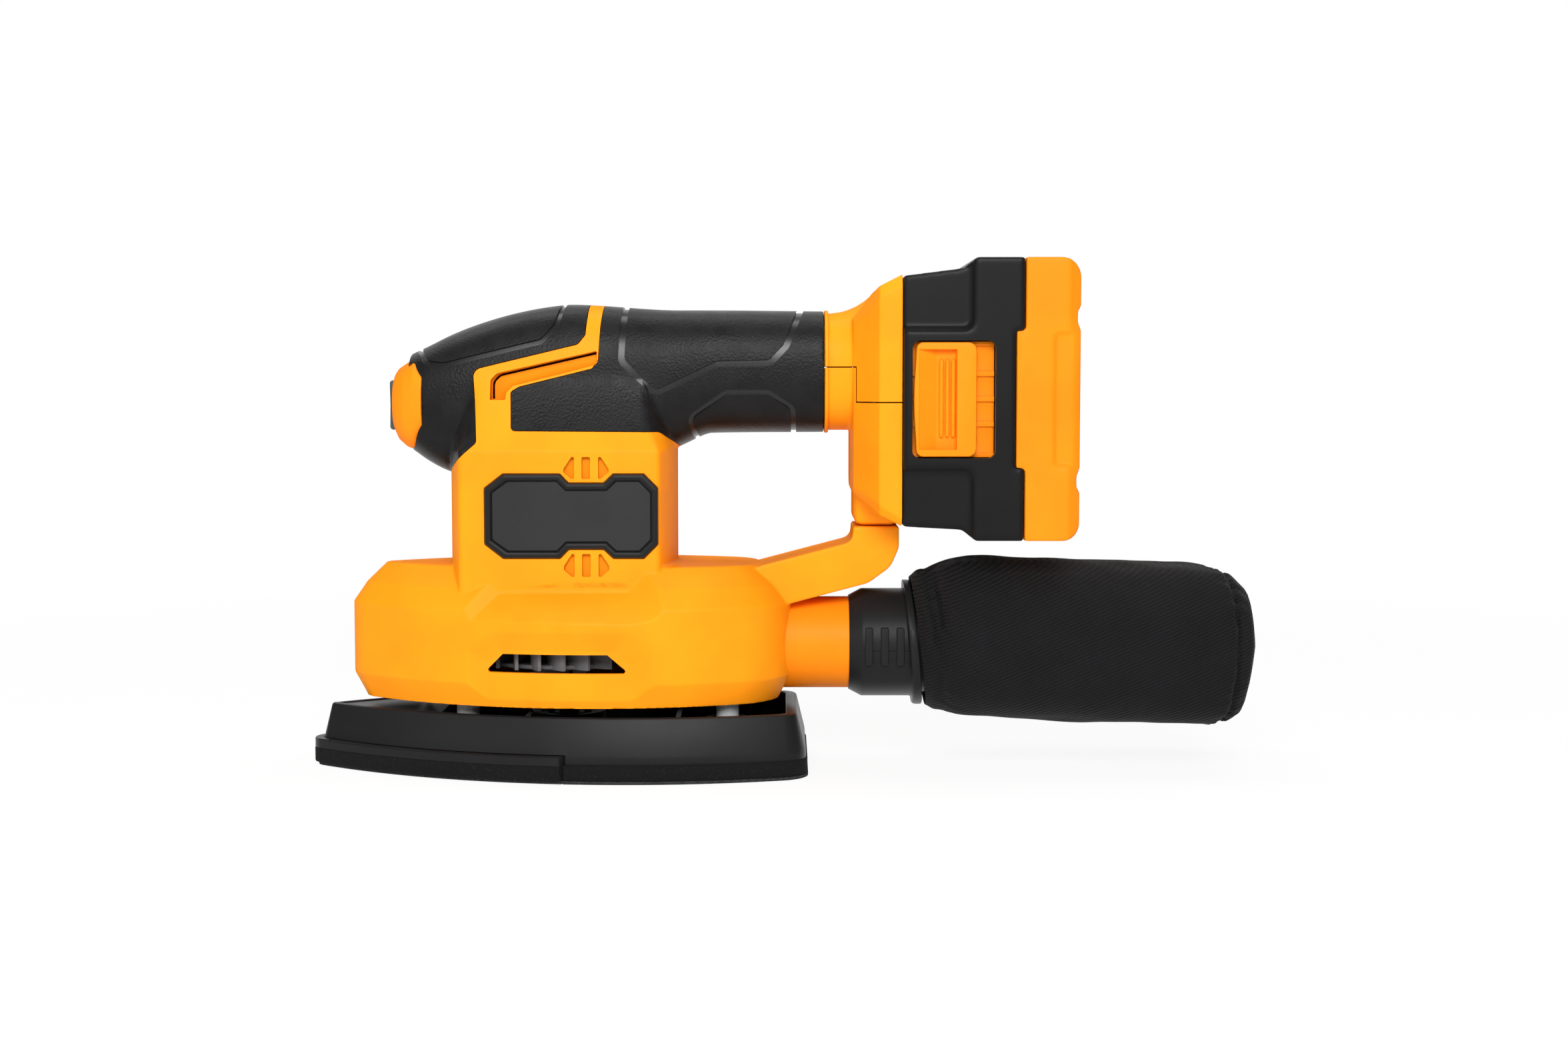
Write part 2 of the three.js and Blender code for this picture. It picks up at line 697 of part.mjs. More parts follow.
// The intake recess on the side of the handle follows the slope of the orange band.
const intake = outline(onHandle([
  [14.4, 7.3],
  [-22.8, -2.1],
  [-25.2, -4.7],
  [-25.4, -10.7],
  [-20.2, -10.7],
  [-19.6, -8.3],
  [-17.2, -5.7],
  [14.4, 2.3],
]));
const switchHalf = rockerWidth / 2;
const switchLow = switchMiddle - rockerHeight / 2 + 0.7;
const switchHigh = switchMiddle + rockerHeight / 2 - 0.7;
const intakeSlit = band(onHandle([[13.8, 6.3], [-22.4, -2.9], [-24.2, -5.1], [-24.4, -10.3]]), 1.3);
const slotHigh = slotLow + slotHeight;
const slot = [V2(-24.6, slotLow), V2(27, slotLow), V2(22, slotHigh), V2(-19.6, slotHigh)];

// Half-hexagon and straight recesses above and below the badge.
const louvre = (x0, x1, low, high, lean) =>
  lean > 0
    ? [V2(x0, high - 4.5), V2(x1 - 1, high), V2(x1, high), V2(x1, low), V2(x1 - 1, low), V2(x0, low + 2.5)]
    : [V2(x0, high), V2(x0 + 1, high), V2(x1, high - 4.5), V2(x1, low + 2.5), V2(x0 + 1, low), V2(x0, low)];
const louvreHeights = [[badgeMiddle + 14, badgeMiddle + 22.2], [badgeMiddle - 22.8, badgeMiddle - 14.2]];
const louvres = louvreHeights.flatMap(([low, high]) => [
  louvre(2.6, 6.6, low, high, 1),
  [V2(9.4, low), V2(12.6, low), V2(12.6, high), V2(9.4, high)],
  louvre(15.6, 19.6, low, high, -1),
]);

const badgeOutline = (inset) => {
  const tall = badgeHalfHeight - inset;
  const waist = tall - 3.4;
  const front = inset - badgeFront;
  const back = badgeBack - inset;
  const lean = inset * 0.4;
  const upper = [
    V2(back, tall - 5.4 + lean),
    V2(back - 5.4 + lean, tall),
    V2(21.2 + lean, tall),
    V2(17.6 + lean, waist),
    V2(4.5 - lean, waist),
    V2(1.2 - lean, tall),
    V2(front + 7 - lean, tall),
    V2(front, tall - 5.4 + lean),
  ];
  const lower = upper.map((p) => V2(p.x, -p.y)).reverse();
  return [...upper, ...lower].map((p) => V2(p.x, p.y + badgeMiddle));
};

const screws = [
  [-36, barrelAxis + 2.7],
  [72, barrelAxis + 12.7],
  [33, badgeMiddle + 8.8],
  [-31, badgeMiddle + 20],
  [61, baseTop - 9.1],
  [-58, baseWallHigh + 1.5],
];

// Both halves at once; split down the middle afterwards.
function wholeHousing() {
  const lower = cut(
    join(baseForm(), columnForm(0, 60), armForm(0), grippedForm),
    cut(noseRegion(gap), shellCore),
    cut(handleRegion(gap), shellCore),
  );
  const roomForm = (inset) =>
    join(
      baseForm(inset, baseBottom - 1),
      columnForm(inset, 65, columnShoulder - 8),
      shoulderForm(gripThickness + gap + inset),
      barrelForm(gripThickness + gap + inset, 5.5 + inset, hiddenSides),
      cut(armForm(inset), box(0, 60, -50, 50, 0, 100)),
    );
  const room = roomForm(wall);
  const ribRoom = roomForm(wall - 1.2);
  const shell = cut(
    cut(lower, room, capForm(gap)),
    prism("y", slot, -60, 60),
    rod("x", portRadius + gap, 60, 120, 0, portHeight, 16),
    box(-noseEnd, 10.5 - noseEnd, -switchHalf - gap, switchHalf + gap, switchLow - gap, switchHigh + gap),
    ...[-1, 1].map((side) => {
      const out = (a, b) => [Math.min(side * a, side * b), Math.max(side * a, side * b)];
      return join(
        prism("y", badgeOutline(-gap), ...out(columnHalfWidth - 1.4, 60)),
        prism("y", intake, ...out(17.4, 60)),
        prism("y", intakeSlit, ...out(10, 60)),
        louvres.map((outline) => prism("y", outline, ...out(columnHalfWidth - 1.2, 60))),
      );
    }),
  );
  const saddle = (z, radius) =>
    cut(
      prism("z", [V2(-43, -32), V2(43, -32), V2(43, 32), V2(-43, 32)], z, z + 2.4),
      rod("z", radius, z - 1, z + 4, 0, 0, 16),
    );
  const saddles = common(
    join(saddle(66, motorDiameter / 2 + gap), saddle(110, motorDiameter / 2 + gap)),
    ribRoom,
  );
  const bosses = screws.map(([x, z]) =>
    common(rod("y", bossDiameter / 2, -50, 50, x, z, 8), ribRoom),
  );
  const bored = screws.flatMap(([x, z]) => [
    rod("y", screwDiameter / 2 + gap, -12, 60, x, z, 6),
    rod("y", screwHead / 2 + gap, 8, 60, x, z, 8),
  ]);
  return cut(join(shell, saddles, bosses), bored, capForm(gap));
}

const housingWhole = wholeHousing();
const halfSpace = (side) =>
  side < 0 ? box(-200, 300, -100, -gap / 2, -10, 300) : box(-200, 300, gap / 2, 100, -10, 300);
for (const [name, side] of [["right", -1], ["left", 1]]) {
  const half = halfSpace(side);
  piece(housing, `${name}_shell`, common(housingWhole, half), orange, 0.2);

  // The rubber skins, with shallow channels moulded round their raised pads.
  const skin = cut(grippedForm, gripCore, capForm(gap), screws.map(([x, z]) =>
    rod("y", screwHead / 2 + gap, 8, 60, x, z, 8)));
  const channel = (line, width) =>
    common(cut(upperForm(-0.5), upperForm(grooveDepth)), prism("y", band(onHandle(line), width), -60, 60));
  const noseSkin = cut(
    common(skin, noseRegion()),
    channel([[-55.6, 9.1], [-50.6, 3.1], [-44, 2.5], [-6.6, 11.5], [-1.4, 17.7], [2, 28.7]], 1.8),
  );
  const handleSkin = cut(
    common(skin, handleRegion()),
    channel([[24.8, 28.7], [23.4, 4.1], [36.4, -8.3], [60, 2.9], [80, 3.3], [86, 9.7], [93.4, 26.7]], 2),
    channel([[53, -27.3], [49, -17.7], [63.2, -7.7], [79, -7.7], [88.6, -13.9], [89, -27.3]], 2.2),
  );
  piece(housing, `${name}_nose_grip`, common(noseSkin, half), rubberGrip);
  piece(housing, `${name}_handle_grip`, common(handleSkin, half), rubberGrip);

  // The badge: a ridged black frame round a bare plate.
  const face = side * columnHalfWidth;
  const out = (a, b) => [Math.min(side * a, side * b), Math.max(side * a, side * b)];
  const seat = columnHalfWidth - 1.4 + gap;
  const frame = cut(
    prism("y", badgeOutline(0), ...out(seat, columnHalfWidth + 1.2)),
    prism("y", badgeOutline(2.4), ...out(0, 60)),
  );
  piece(housing, `${name}_badge_frame`, frame, black);
  const insert = prism("y", badgeOutline(2.4 + gap), ...out(seat, columnHalfWidth + 0.2));
  piece(housing, `${name}_badge_plate`, insert, charcoal);
}


screws.forEach(([x, z], i) => {
  const screw = join(
    rod("y", screwDiameter / 2, -11, 8.6, x, z, 6),
    rod("y", screwHead / 2, 8 + gap, 10.4, x, z, 8),
  );
  piece(housing, `housing_screw_${i + 1}`, screw, steel);
});

const capHollow = loft([
  capRing(6.1, 10.6, -10.5, 10.5, 3, 12),
  capRing(-4.5, 16, -9.5, 11.9, 3, 12),
]);
const rockerRoom = box(-noseEnd - 11.5, -noseEnd - 1.5, -switchHalf - 0.6, switchHalf + 0.6,
  switchMiddle - rockerHeight / 2 - 0.6, switchMiddle + rockerHeight / 2 + 0.6);
piece(housing, "nose_cap", cut(capForm(), capHollow, rockerRoom), orange);
const switchFront = -noseEnd - 1.7;
piece(housing, "switch_body",
  box(switchFront, 15.5 - noseEnd, -switchHalf, switchHalf, switchLow, switchHigh), charcoal);

// The rocker: two slightly inclined faces that meet at the pivot's height.
const rockerPivot = -noseEnd - 4.9;
const rocker = group(rockerPivot, 0, switchMiddle);
const rockerHalf = rockerHeight / 2;
piece(rocker, "rocker", prism("y", rounded([
  [-4.9, rockerHalf, 0.8],
  [0.4, rockerHalf, 0],
  [2, 3, 0],
  [2, -3, 0],
  [0.4, -rockerHalf, 0],
  [-4.7, -rockerHalf, 0.8],
  [-3.9, 0, 0],
]), -switchHalf, switchHalf), bootGrey);

// ---------------------------------------------------------------- floor, port and motor

const baseFloor = baseBottom + 0.6;
piece(housing, "base_plate", cut(
  prism("z", iron(basePlan, baseLowChamfer + wall + gap, hiddenSteps), baseFloor,
    baseFloor + basePlateThickness),
  rod("z", 23, 20, 40, 0, 0, 20),
), black);

const portInner = portRadius - portWall;
const tube = (outer, inner, from, to, sides = 16) =>
  cut(rod("x", outer, from, to, 0, portHeight, sides),
    rod("x", inner, from - 1, to + 1, 0, portHeight, sides));
const portFlange = common(
  tube(portRadius + 2.6, portInner, 76, 78.6),
  box(70, 90, -30, 30, baseFloor + basePlateThickness + gap, 80),
);
piece(housing, "dust_port", join(tube(portRadius, portInner, 70, portEnd), portFlange), orange);

const motorRadius = motorDiameter / 2;
const motorTop = motorBottom + motorLength;
piece(housing, "motor_can", turned([
  [8, motorBottom],
  [motorRadius, motorBottom],
  [motorRadius, motorTop - 3],
  [motorRadius - 1.6, motorTop - 3],
  [motorRadius - 1.6, motorBottom + 1.4],
  [8, motorBottom + 1.4],
  [8, motorBottom],
], 16), steel);
piece(housing, "motor_end_cap",
  ring(shaftDiameter / 2 + runningGap, motorRadius, motorTop - 3 + gap, motorTop, 16), black);
const magnetRing = ring(13.4, motorRadius - 1.6 - gap, motorBottom + 7, motorTop - 15, 16);
for (const [name, side] of [["front", -1], ["rear", 1]]) {
  const half = box(Math.min(side * 2, side * 30), Math.max(side * 2, side * 30), -12, 12, 50, 130);
  piece(housing, `${name}_magnet`, common(magnetRing, half), charcoal);
}

const rotor = group(0, 0, 0);
const shaftHole = shaftDiameter / 2 + gap;
piece(rotor, "motor_shaft", rod("z", shaftDiameter / 2, baseFloor, motorTop + 1, 0, 0, 12), steel);
const slots = Array.from({ length: 6 }, (_, i) => {
  const turn = THREE.MathUtils.degToRad(60 * i);
  return rod("z", 1.6, 60, 120, 12 * Math.cos(turn), 12 * Math.sin(turn), 4);
});
piece(rotor, "armature",
  cut(ring(shaftHole, 12.6, motorBottom + 9, motorTop - 17, 12), slots), copper);
piece(rotor, "commutator", ring(shaftHole, 5.4, motorTop - 14, motorTop - 6, 12), copper);

// The eccentric: a half disc for balance, and a pin that sits off the motor's axis.
const discLow = 26.4;
const discHigh = 34.4;
const halfDisc = cut(rod("z", 19, discLow, discHigh, 0, 0, 20), box(7, 30, -30, 30, 20, 40));
piece(rotor, "eccentric", cut(
  join(halfDisc, rod("z", bearingInner / 2, bearingSeat + gap, discLow + 1, orbitRadius, 0, 16)),
  rod("z", shaftHole, baseFloor - gap, 40, 0, 0, 12),
), steel);
piece(pad, "bearing_outer_ring",
  ring(bearingOuter / 2 - bearingRing, bearingOuter / 2, bearingSeat + gap, bearingTop, 16), steel);
const innerRing = ring(bearingInner / 2 + gap, bearingInner / 2 + bearingRing,
  bearingSeat + gap, bearingTop, 12);
piece(rotor, "bearing_inner_ring", innerRing.translate([orbitRadius, 0, 0]), steel);
const race = (bearingOuter / 2 + bearingInner / 2) / 2;
const ballHeight = bearingSeat + bearingWidth / 2;
const balls = Array.from({ length: bearingBalls }, (_, i) => {
  const turn = (2 * Math.PI * i) / bearingBalls;
  const ball = new THREE.OctahedronGeometry(1.3, 0);
  return solid(ball.translate(race * Math.cos(turn), race * Math.sin(turn), ballHeight));
});
piece(pad, "bearing_balls",
  join(ring(race - 0.6, race + 0.6, ballHeight - 0.4, ballHeight + 0.4, bearingBalls), balls), steel);

const fanRadius = fanDiameter / 2;
const fanTop = fanDisc + fanDiscThickness + fanBladeHeight;
const blade = prism("z", band([[14, 0], [25, 2], [fanRadius - 1.4, 8]], 1.5),
  fanDisc + fanDiscThickness - 0.4, fanTop);
const blades = Array.from({ length: fanBlades }, (_, i) => blade.rotate([0, 0, (360 * i) / fanBlades]));
piece(rotor, "fan", cut(
  join(
    rod("z", fanRadius, fanDisc, fanDisc + fanDiscThickness, 0, 0, 22),
    rod("z", 6.5, fanDisc, fanTop, 0, 0, 10),
    blades,
  ),
  rod("z", shaftHole, 30, 70, 0, 0, 12),
), charcoal);

const postShape = turned([
  [0, trayInside + gap],
  [postDiameter / 2, trayInside + gap],
  [postDiameter / 2, trayInside + 6],
  [postDiameter / 2 - 1.2, trayInside + 8],
  [postDiameter / 2 - 1.2, baseFloor - 4],
  [postDiameter / 2, baseFloor - 2],
  [postDiameter / 2, baseFloor - gap],
  [0, baseFloor - gap],
], 8);
posts.forEach(([x, y], i) => {
  piece(pad, `rubber_post_${i + 1}`, postShape.translate([x, y, 0]), rubberGrey);
});
piece(pad, "tip_plate_screw", join(
  rod("z", screwDiameter / 2, foamTop + 1, trayInside + 0.4, tipScrewX, 0, 8),
  rod("z", screwHead / 2, trayInside + gap, trayInside + 2.6, tipScrewX, 0, 10),
), steel);

// ---------------------------------------------------------------- battery foot

// A section of the foot in the YZ plane: a rectangle with cut corners.
const footSection = (x, half, low, high, lowCut, highCut) => [-1, 1].flatMap((side) => [
  [x, side * half, low + lowCut],
  [x, side * (half - lowCut * 0.7), low],
  [x, side * half, high - highCut],
  [x, side * (half - highCut * 0.7), high],
]);
const footForm = (inset) => hull([
  ...footSection(footFront + inset, 22 - inset, footLow + inset, handleTop + 1 - inset, 12, 5),
  ...footSection(footFront + 9, footHalfWidth - inset, footLow - 1 + inset, footHigh - 4.3 - inset, 7, 5),
  ...footSection(footBack - inset, footHalfWidth - inset, footLow - 1 + inset, footHigh - inset, 4, 4),
]);
const neckStart = handleEnd + gap;
const endSection = (x, inset, sides = barrelSides) =>
  oval(x, handleHalfWidth - inset, underside + 0.4 + inset, handleTop - 0.4 - inset, 2.5, sides);
const neckForm = join(
  loft([endSection(neckStart, -0.3), endSection(neckStart + ringLength, -0.3)]),
  loft([endSection(neckStart + 0.1, 0.7), endSection(footFront + 1, 0.7)]),
);
const spigotInset = gripThickness + gap + wall + gap;
const spigot = loft([
  endSection(handleEnd - 6, spigotInset, hiddenSides),
  endSection(neckStart + 1, spigotInset, hiddenSides),
]);
const neckBore = loft([
  oval(handleEnd - 7, 13, barrelAxis - 16, barrelAxis + 16, 2.5, 12),
  oval(footFront + 4, 13, barrelAxis - 16, barrelAxis + 16, 2.5, 12),
]);
const railLow = terminalMiddle - railSpacing / 2;
const railHigh = terminalMiddle + railSpacing / 2;
// A rail that the battery slides on: a stem with a lip turned away from the middle.
const rail = (height, out, grow, from, to) => {
  const low = Math.min(height - out * 1.5, height + out * 6) - grow;
  const high = Math.max(height - out * 1.5, height + out * 6) + grow;
  return join(
    box(footBack - 1, footBack + 4.4 + grow, from, to, height - 1.5 - grow, height + 1.5 + grow),
    box(footBack + 2 - grow, footBack + 4.4 + grow, from, to, low, high),
  );
};
const blockHalf = 14.6;
const blockLow = terminalMiddle - 13.4;
const blockHigh = terminalMiddle + 13.4;
const wholeFoot = cut(
  join(footForm(0), neckForm, spigot, rail(railLow, -1, 0, -28, 33), rail(railHigh, 1, 0, -28, 33)),
  cut(footForm(wall), box(0, 200, -60, 60, 0, footLow + 1.5)),
  neckBore,
  box(footBack - 4, footBack + 1, -blockHalf - gap, blockHalf + gap, blockLow - gap, blockHigh + gap),
);
const stepX = footFront + 0.6;
const neckSplit = barrelAxis + 1.7;
const under = join(
  box(90, stepX, -60, 60, 60, neckSplit - gap / 2),
  box(90, 140, -60, 60, 60, footSplit - gap / 2),
);
const over = join(
  box(90, 140, -60, 60, neckSplit + gap / 2, 200),
  box(stepX + gap, 140, -60, 60, footSplit + gap / 2, 200),
);
piece(housing, "foot_lower_shell", common(wholeFoot, under), orange);
piece(housing, "foot_upper_shell", common(wholeFoot, over), orange);

const terminals = [["positive", terminalMiddle + 7], ["negative", terminalMiddle - 7]];
const terminalBlock = box(footBack - 9, footBack, -blockHalf, blockHalf, blockLow, blockHigh);
piece(housing, "terminal_block", cut(terminalBlock,
  terminals.map(([, z]) => box(footBack - 7, footBack + 1, -7 - gap, 7 + gap, z - 0.5 - gap, z + 0.5 + gap)),
), black);
for (const [name, z] of terminals)
  piece(housing, `${name}_blade`, box(footBack - 7 + gap, footBack + 4, -7, 7, z - 0.5, z + 0.5), copper);

// Leads inside the handle.
function lead(points) {
  const path = new THREE.CatmullRomCurve3(points.map((p) => V3(...p)));
  const section = new THREE.Shape(arc(0, 0, 1.1, 0, 300, 5));
  return solid(new THREE.ExtrudeGeometry(section, { steps: 10, extrudePath: path, bevelEnabled: false }));
}
const leadStart = footBack - 10;
const inHandle = ([x, y, z]) => [x, y, barrelAxis + z];
piece(housing, "positive_lead", lead([
  [leadStart, 4, terminalMiddle + 7],
  ...[[104, 5, -1.3], [60, 6, -3.3], [10, 6, -3.3]].map(inHandle),
  [15.5 - noseEnd + gap, 2, switchMiddle + 3.5],
]), wireRed);
piece(housing, "negative_lead", lead([
  [leadStart, -4, terminalMiddle - 6],
  ...[[112, -4, -11.3], [98, -5, -5.3], [50, -7, -11.3], [16, -7, -19.3]].map(inHandle),
  [9, -6, motorTop + 1.2],
]), black);

// ---------------------------------------------------------------- battery pack

const battery = group(0, 0, 0);
const packFront = footBack + gap;
const packBack = packFront + packDepth;
const coverFront = packBack - packCover;
const stepBack = packFront + packStep;
const notchLow = packLow + 27.3; // the cover's front edge steps forward between these heights
const notchHigh = packHigh - 27.3;
const caseOutline = (inset) => [
  V2(packFront + inset, packLow + packShoulder + inset),
  V2(stepBack - 2, packLow + packShoulder - 1.2 + inset),
  V2(stepBack + 3, packLow + inset),
  V2(coverFront, packLow + inset),
  V2(coverFront, notchLow - 1),
  V2(coverFront - 3.3, notchLow),
  V2(coverFront - 3.3, notchHigh),
  V2(coverFront, notchHigh + 1),
  V2(coverFront, packHigh - inset),
  V2(stepBack + 3, packHigh - inset),
  V2(stepBack - 2, packHigh - packShoulder + 1.2 - inset),
  V2(packFront + inset, packHigh - packShoulder - 1.6 - inset),
];
const coverOutline = (inset) => rounded([
  [coverFront + gap, packLow + inset, 0],
  [packBack - inset, packLow + inset, 6],
  [packBack - inset, packLow + 18, 1],
  [packBack - 1.3 - inset, packLow + 20, 1],
  [packBack - 1.3 - inset, packLow + 24, 1],
  [packBack - inset, packLow + 27, 1],
  [packBack - inset, packHigh - 27, 1],
  [packBack - 1.3 - inset, packHigh - 24, 1],
  [packBack - 1.3 - inset, packHigh - 20, 1],
  [packBack - inset, packHigh - 18, 1],
  [packBack - inset, packHigh - inset, 7],
  [coverFront + gap, packHigh - inset, 0],
  [coverFront + gap, notchHigh + 1, 0],
  [coverFront - 3.3 + gap, notchHigh, 0],
  [coverFront - 3.3 + gap, notchLow, 0],
  [coverFront + gap, notchLow - 1, 0],
], 2);

// Seen from above, the pack has rounded upright edges.
const packPlan = (inset) => prism("z", rounded([
  [packFront + inset, -packHalfWidth + inset, 1.5],
  [packBack - inset, -packHalfWidth + inset, 5],
  [packBack - inset, packHalfWidth - inset, 5],
  [packFront + inset, packHalfWidth - inset, 1.5],
]), packLow - 10, packHigh + 15);

const buttonFront = packFront + 3.8;
const buttonBack = buttonFront + buttonWidth;
const buttonLow = packMiddle - buttonHeight / 2;
const buttonHigh = packMiddle + buttonHeight / 2;
const guideThickness = 1.2; // the plate under the button
const pocketFloor = -packHalfWidth + 4.6 + guideThickness;
const guideFace = pocketFloor - gap - guideThickness;
const pocketBack = buttonBack + buttonTravel + runningGap;
const pack = (outline, half) => prism("y", outline, -half, half);
const latchSlot = box(buttonFront + 4, buttonFront + 16.4, -50, pocketFloor + 3,
  packMiddle - 4.5, packMiddle + 4.5);

function packCase() {
  const corner = packHalfWidth - 2.4;
  const corners = [-1, 1].flatMap((side) =>
    [[80, notchLow], [notchHigh, 210]].map(([low, high]) =>
      box(packFront - 1, stepBack + 1.2, Math.min(side * corner, side * 50),
        Math.max(side * corner, side * 50), low, high),
    ),
  );
  const outside = cut(common(pack(caseOutline(0), packHalfWidth), packPlan(0)), corners);
  const inside = pack([
    V2(packFront + packWall, packLow + packShoulder + packWall),
    V2(stepBack - 2, packLow + packShoulder + packWall),
    V2(stepBack + 4, packLow + packWall),
    V2(packBack, packLow + packWall),
    V2(packBack, packHigh - packWall),
    V2(stepBack + 4, packHigh - packWall),
    V2(stepBack - 2, packHigh - packShoulder - packWall),
    V2(packFront + packWall, packHigh - packShoulder - packWall),
  ], corner - packWall);
  const channels = [[railLow, -1], [railHigh, 1]];
  const blocks = channels.map(([z, out]) =>
    box(packFront + 0.4, packFront + 7.4, -31, packHalfWidth - 1, z + out * 2 - 6.6, z + out * 2 + 6.6));
  const pocketWalls = box(packFront + 1, pocketBack + 2, -packHalfWidth + 2, pocketFloor + 1.8,
    buttonLow - 2.6, buttonHigh + 2.6);
  const body = join(cut(outside, inside), blocks, pocketWalls);
  return cut(
    body,
    channels.map(([z, out]) => rail(z, out, runningGap, -29, 50)),
    terminals.map(([, z]) => box(packFront - 1, packFront + 4.6, -8, 50, z - 1.4, z + 1.4)),
    box(buttonFront - runningGap, pocketBack, -50, pocketFloor,
      buttonLow - runningGap, buttonHigh + runningGap),
    latchSlot,
    box(packFront - 1, packFront + 4, pocketFloor + 1.6, pocketFloor + 4.6,
      packMiddle - 8.5, packMiddle + 8.5),
  );
}
piece(battery, "battery_case", packCase(), black);

const waist = [-1, 1].map((side) =>
  box(packBack - 11.4, packBack + 1, Math.min(side * 50, side * (packHalfWidth - 1.3)),
    Math.max(side * 50, side * (packHalfWidth - 1.3)), notchLow, notchHigh));
piece(battery, "battery_cover", cut(
  common(pack(coverOutline(0), packHalfWidth), packPlan(0)),
  waist,
  common(
    pack([
      V2(coverFront - 10, packLow + packWall),
      V2(packBack - 4, packLow + packWall),
      V2(packBack - 4, packHigh - packWall),
      V2(coverFront - 10, packHigh - packWall),
    ], packHalfWidth - 4.6),
    box(100, packBack - 4, -60, 60, packLow - 10, packHigh + 15),
  ),
), orange);

const cellX = packFront + 29;
const cellStart = pocketFloor + 2.2;
const cells = [0, 1].flatMap((column) => [-2, -1, 0, 1, 2].map((row) =>
  rod("y", cellDiameter / 2 + 0.05, cellStart, cellStart + cellLength,
    cellX + column * cellDiameter, packMiddle + row * cellDiameter, 8)));
piece(battery, "cell_block", join(cells), cellBlue);
piece(battery, "battery_board", box(packFront + 7.7, packFront + 9.3, -26, 30,
  packMiddle - 38.9, packMiddle + 39.1), charcoal);

// The release button: a slope down to a ribbed step for the thumb. Sliding it back draws the
// latch in. It runs on a ribbed plate that lines the pocket.
const release = group(0, 0, 0);
const buttonUnder = guideFace - 0.8;
const slopeEnd = buttonFront + 8.4;
const thumbWall = buttonFront + 15.8;
const thumbFloor = buttonUnder - 1;
const thumbPocket = prism("z", [
  V2(buttonFront + 1.6, -60),
  V2(buttonFront + 1.6, -packHalfWidth),
  V2(slopeEnd, thumbFloor),
  V2(thumbWall, thumbFloor),
  V2(thumbWall + 0.8, -60),
], buttonLow + 3, buttonHigh - 3);
const thumbRibs = [0, 1, 2].map((i) =>
  box(slopeEnd + 1.4 + i * 2.2, slopeEnd + 2.4 + i * 2.2, thumbFloor - 0.7, thumbFloor + 0.5,
    buttonLow + 7, buttonHigh - 6));
const buttonFace = prism("y", rounded([
  [buttonFront, buttonLow, 3],
  [buttonBack, buttonLow, 3],
  [buttonBack, buttonHigh, 3],
  [buttonFront, buttonHigh, 3],
], 2), -packHalfWidth - 0.3, buttonUnder);
piece(release, "release_button", join(cut(buttonFace, thumbPocket), thumbRibs), orange);
const guideRibs = [-2, -1, 0, 1, 2].map((i) =>
  box(buttonBack - 2, pocketBack - gap, guideFace - 0.5, guideFace + 0.5,
    packMiddle + i * 9.7 - 0.8, packMiddle + i * 9.7 + 0.8));
piece(battery, "button_guide", join(
  cut(box(buttonFront - gap, pocketBack - gap, guideFace, pocketFloor - gap,
    buttonLow - gap, buttonHigh + gap), latchSlot),
  guideRibs,
), orange);
const latchFace = pocketFloor + 1.8 + gap;
piece(release, "latch", join(
  box(packFront + 0.4, buttonFront + 8.6, latchFace, latchFace + 1.6,
    packMiddle - 7, packMiddle + 7),
  box(buttonFront + 5, buttonFront + 8.6, buttonUnder + gap, latchFace + 0.5,
    packMiddle - 3, packMiddle + 3),
), steel);

// ---------------------------------------------------------------- dust bag

const dust = group(0, 0, 0);
const collarStart = portEnd + gap;
const collarEnd = collarStart + collarLength;
const collarRadius = collarDiameter / 2;
const flangeRadius = flangeDiameter / 2;
const spigotRadius = portInner - gap;
const neckRadius = 18.6;
const neckEnd = collarEnd + 7;
const collar = turned([
  [spigotRadius - 2, collarStart - 15],
  [spigotRadius, collarStart - 15],
  [spigotRadius, collarStart],
  [collarRadius - 1.8, collarStart],
  [collarRadius, collarStart + 2.4],
  [collarRadius, collarEnd],
  [flangeRadius, collarEnd],
  [flangeRadius, collarEnd + 2.4],
  [neckRadius, collarEnd + 2.4],
  [neckRadius, neckEnd],
  [spigotRadius - 2, neckEnd],
  [spigotRadius - 2, collarStart - 15],
], 16).rotate([0, 90, 0]).translate([0, 0, portHeight]);
const collarRibs = [-1, 1].flatMap((side) => [0, 1, 2].map((i) => {
  const x = collarStart + 6 + i * 6;
  const y = side * (collarRadius + 0.9);
  return box(x, x + 2.9, Math.min(y, side * 17), Math.max(y, side * 17), portHeight - 6.4, portHeight + 7.8);
}));
piece(dust, "bag_collar", join(collar, collarRibs), black);

const bagStart = collarEnd + 2.4 + gap;
const bagEnd = overallLength - (padTip + plateOverhang - orbitRadius);
const bagLength = bagEnd - bagStart;
// Sections of the bag: share of its length, underside, top, half width, squareness.
const bagSections = [
  [0, 24.4, 72.6, 24, 2],
  [0.035, 21.4, 77.4, 27, 2.2],
  [0.13, 18.6, 80.4, 33, 2.6],
  [0.4, 17.8, 80.6, bagWidth / 2, 3],
  [0.7, 17, 80, bagWidth / 2, 3],
  [0.86, 16.6, 78.6, bagWidth / 2 - 1, 3],
  [0.95, 19.6, 73, bagWidth / 2 - 5, 3],
  [1, 28, 62, bagWidth / 2 - 14, 3],
];
const bag = loft(bagSections.map(([share, low, high, half, power]) =>
  oval(bagStart + share * bagLength, half, low, high, power, 18)));
const bagRoom = loft([
  oval(bagStart - 1, neckRadius + gap, portHeight - neckRadius - gap, portHeight + neckRadius + gap, 2, 18),
  oval(neckEnd + 1, neckRadius + gap, portHeight - neckRadius - gap, portHeight + neckRadius + gap, 2, 18),
  oval(neckEnd + 8, 26, 23, 76, 2.4, 18),
  oval(bagEnd - 20, bagWidth / 2 - 4, 20.6, 74.4, 2.6, 18),
  oval(bagEnd - 6, bagWidth / 2 - 16, 30, 62, 2.6, 18),
]);
piece(dust, "dust_bag", cut(bag, bagRoom), cloth);

export default sander;
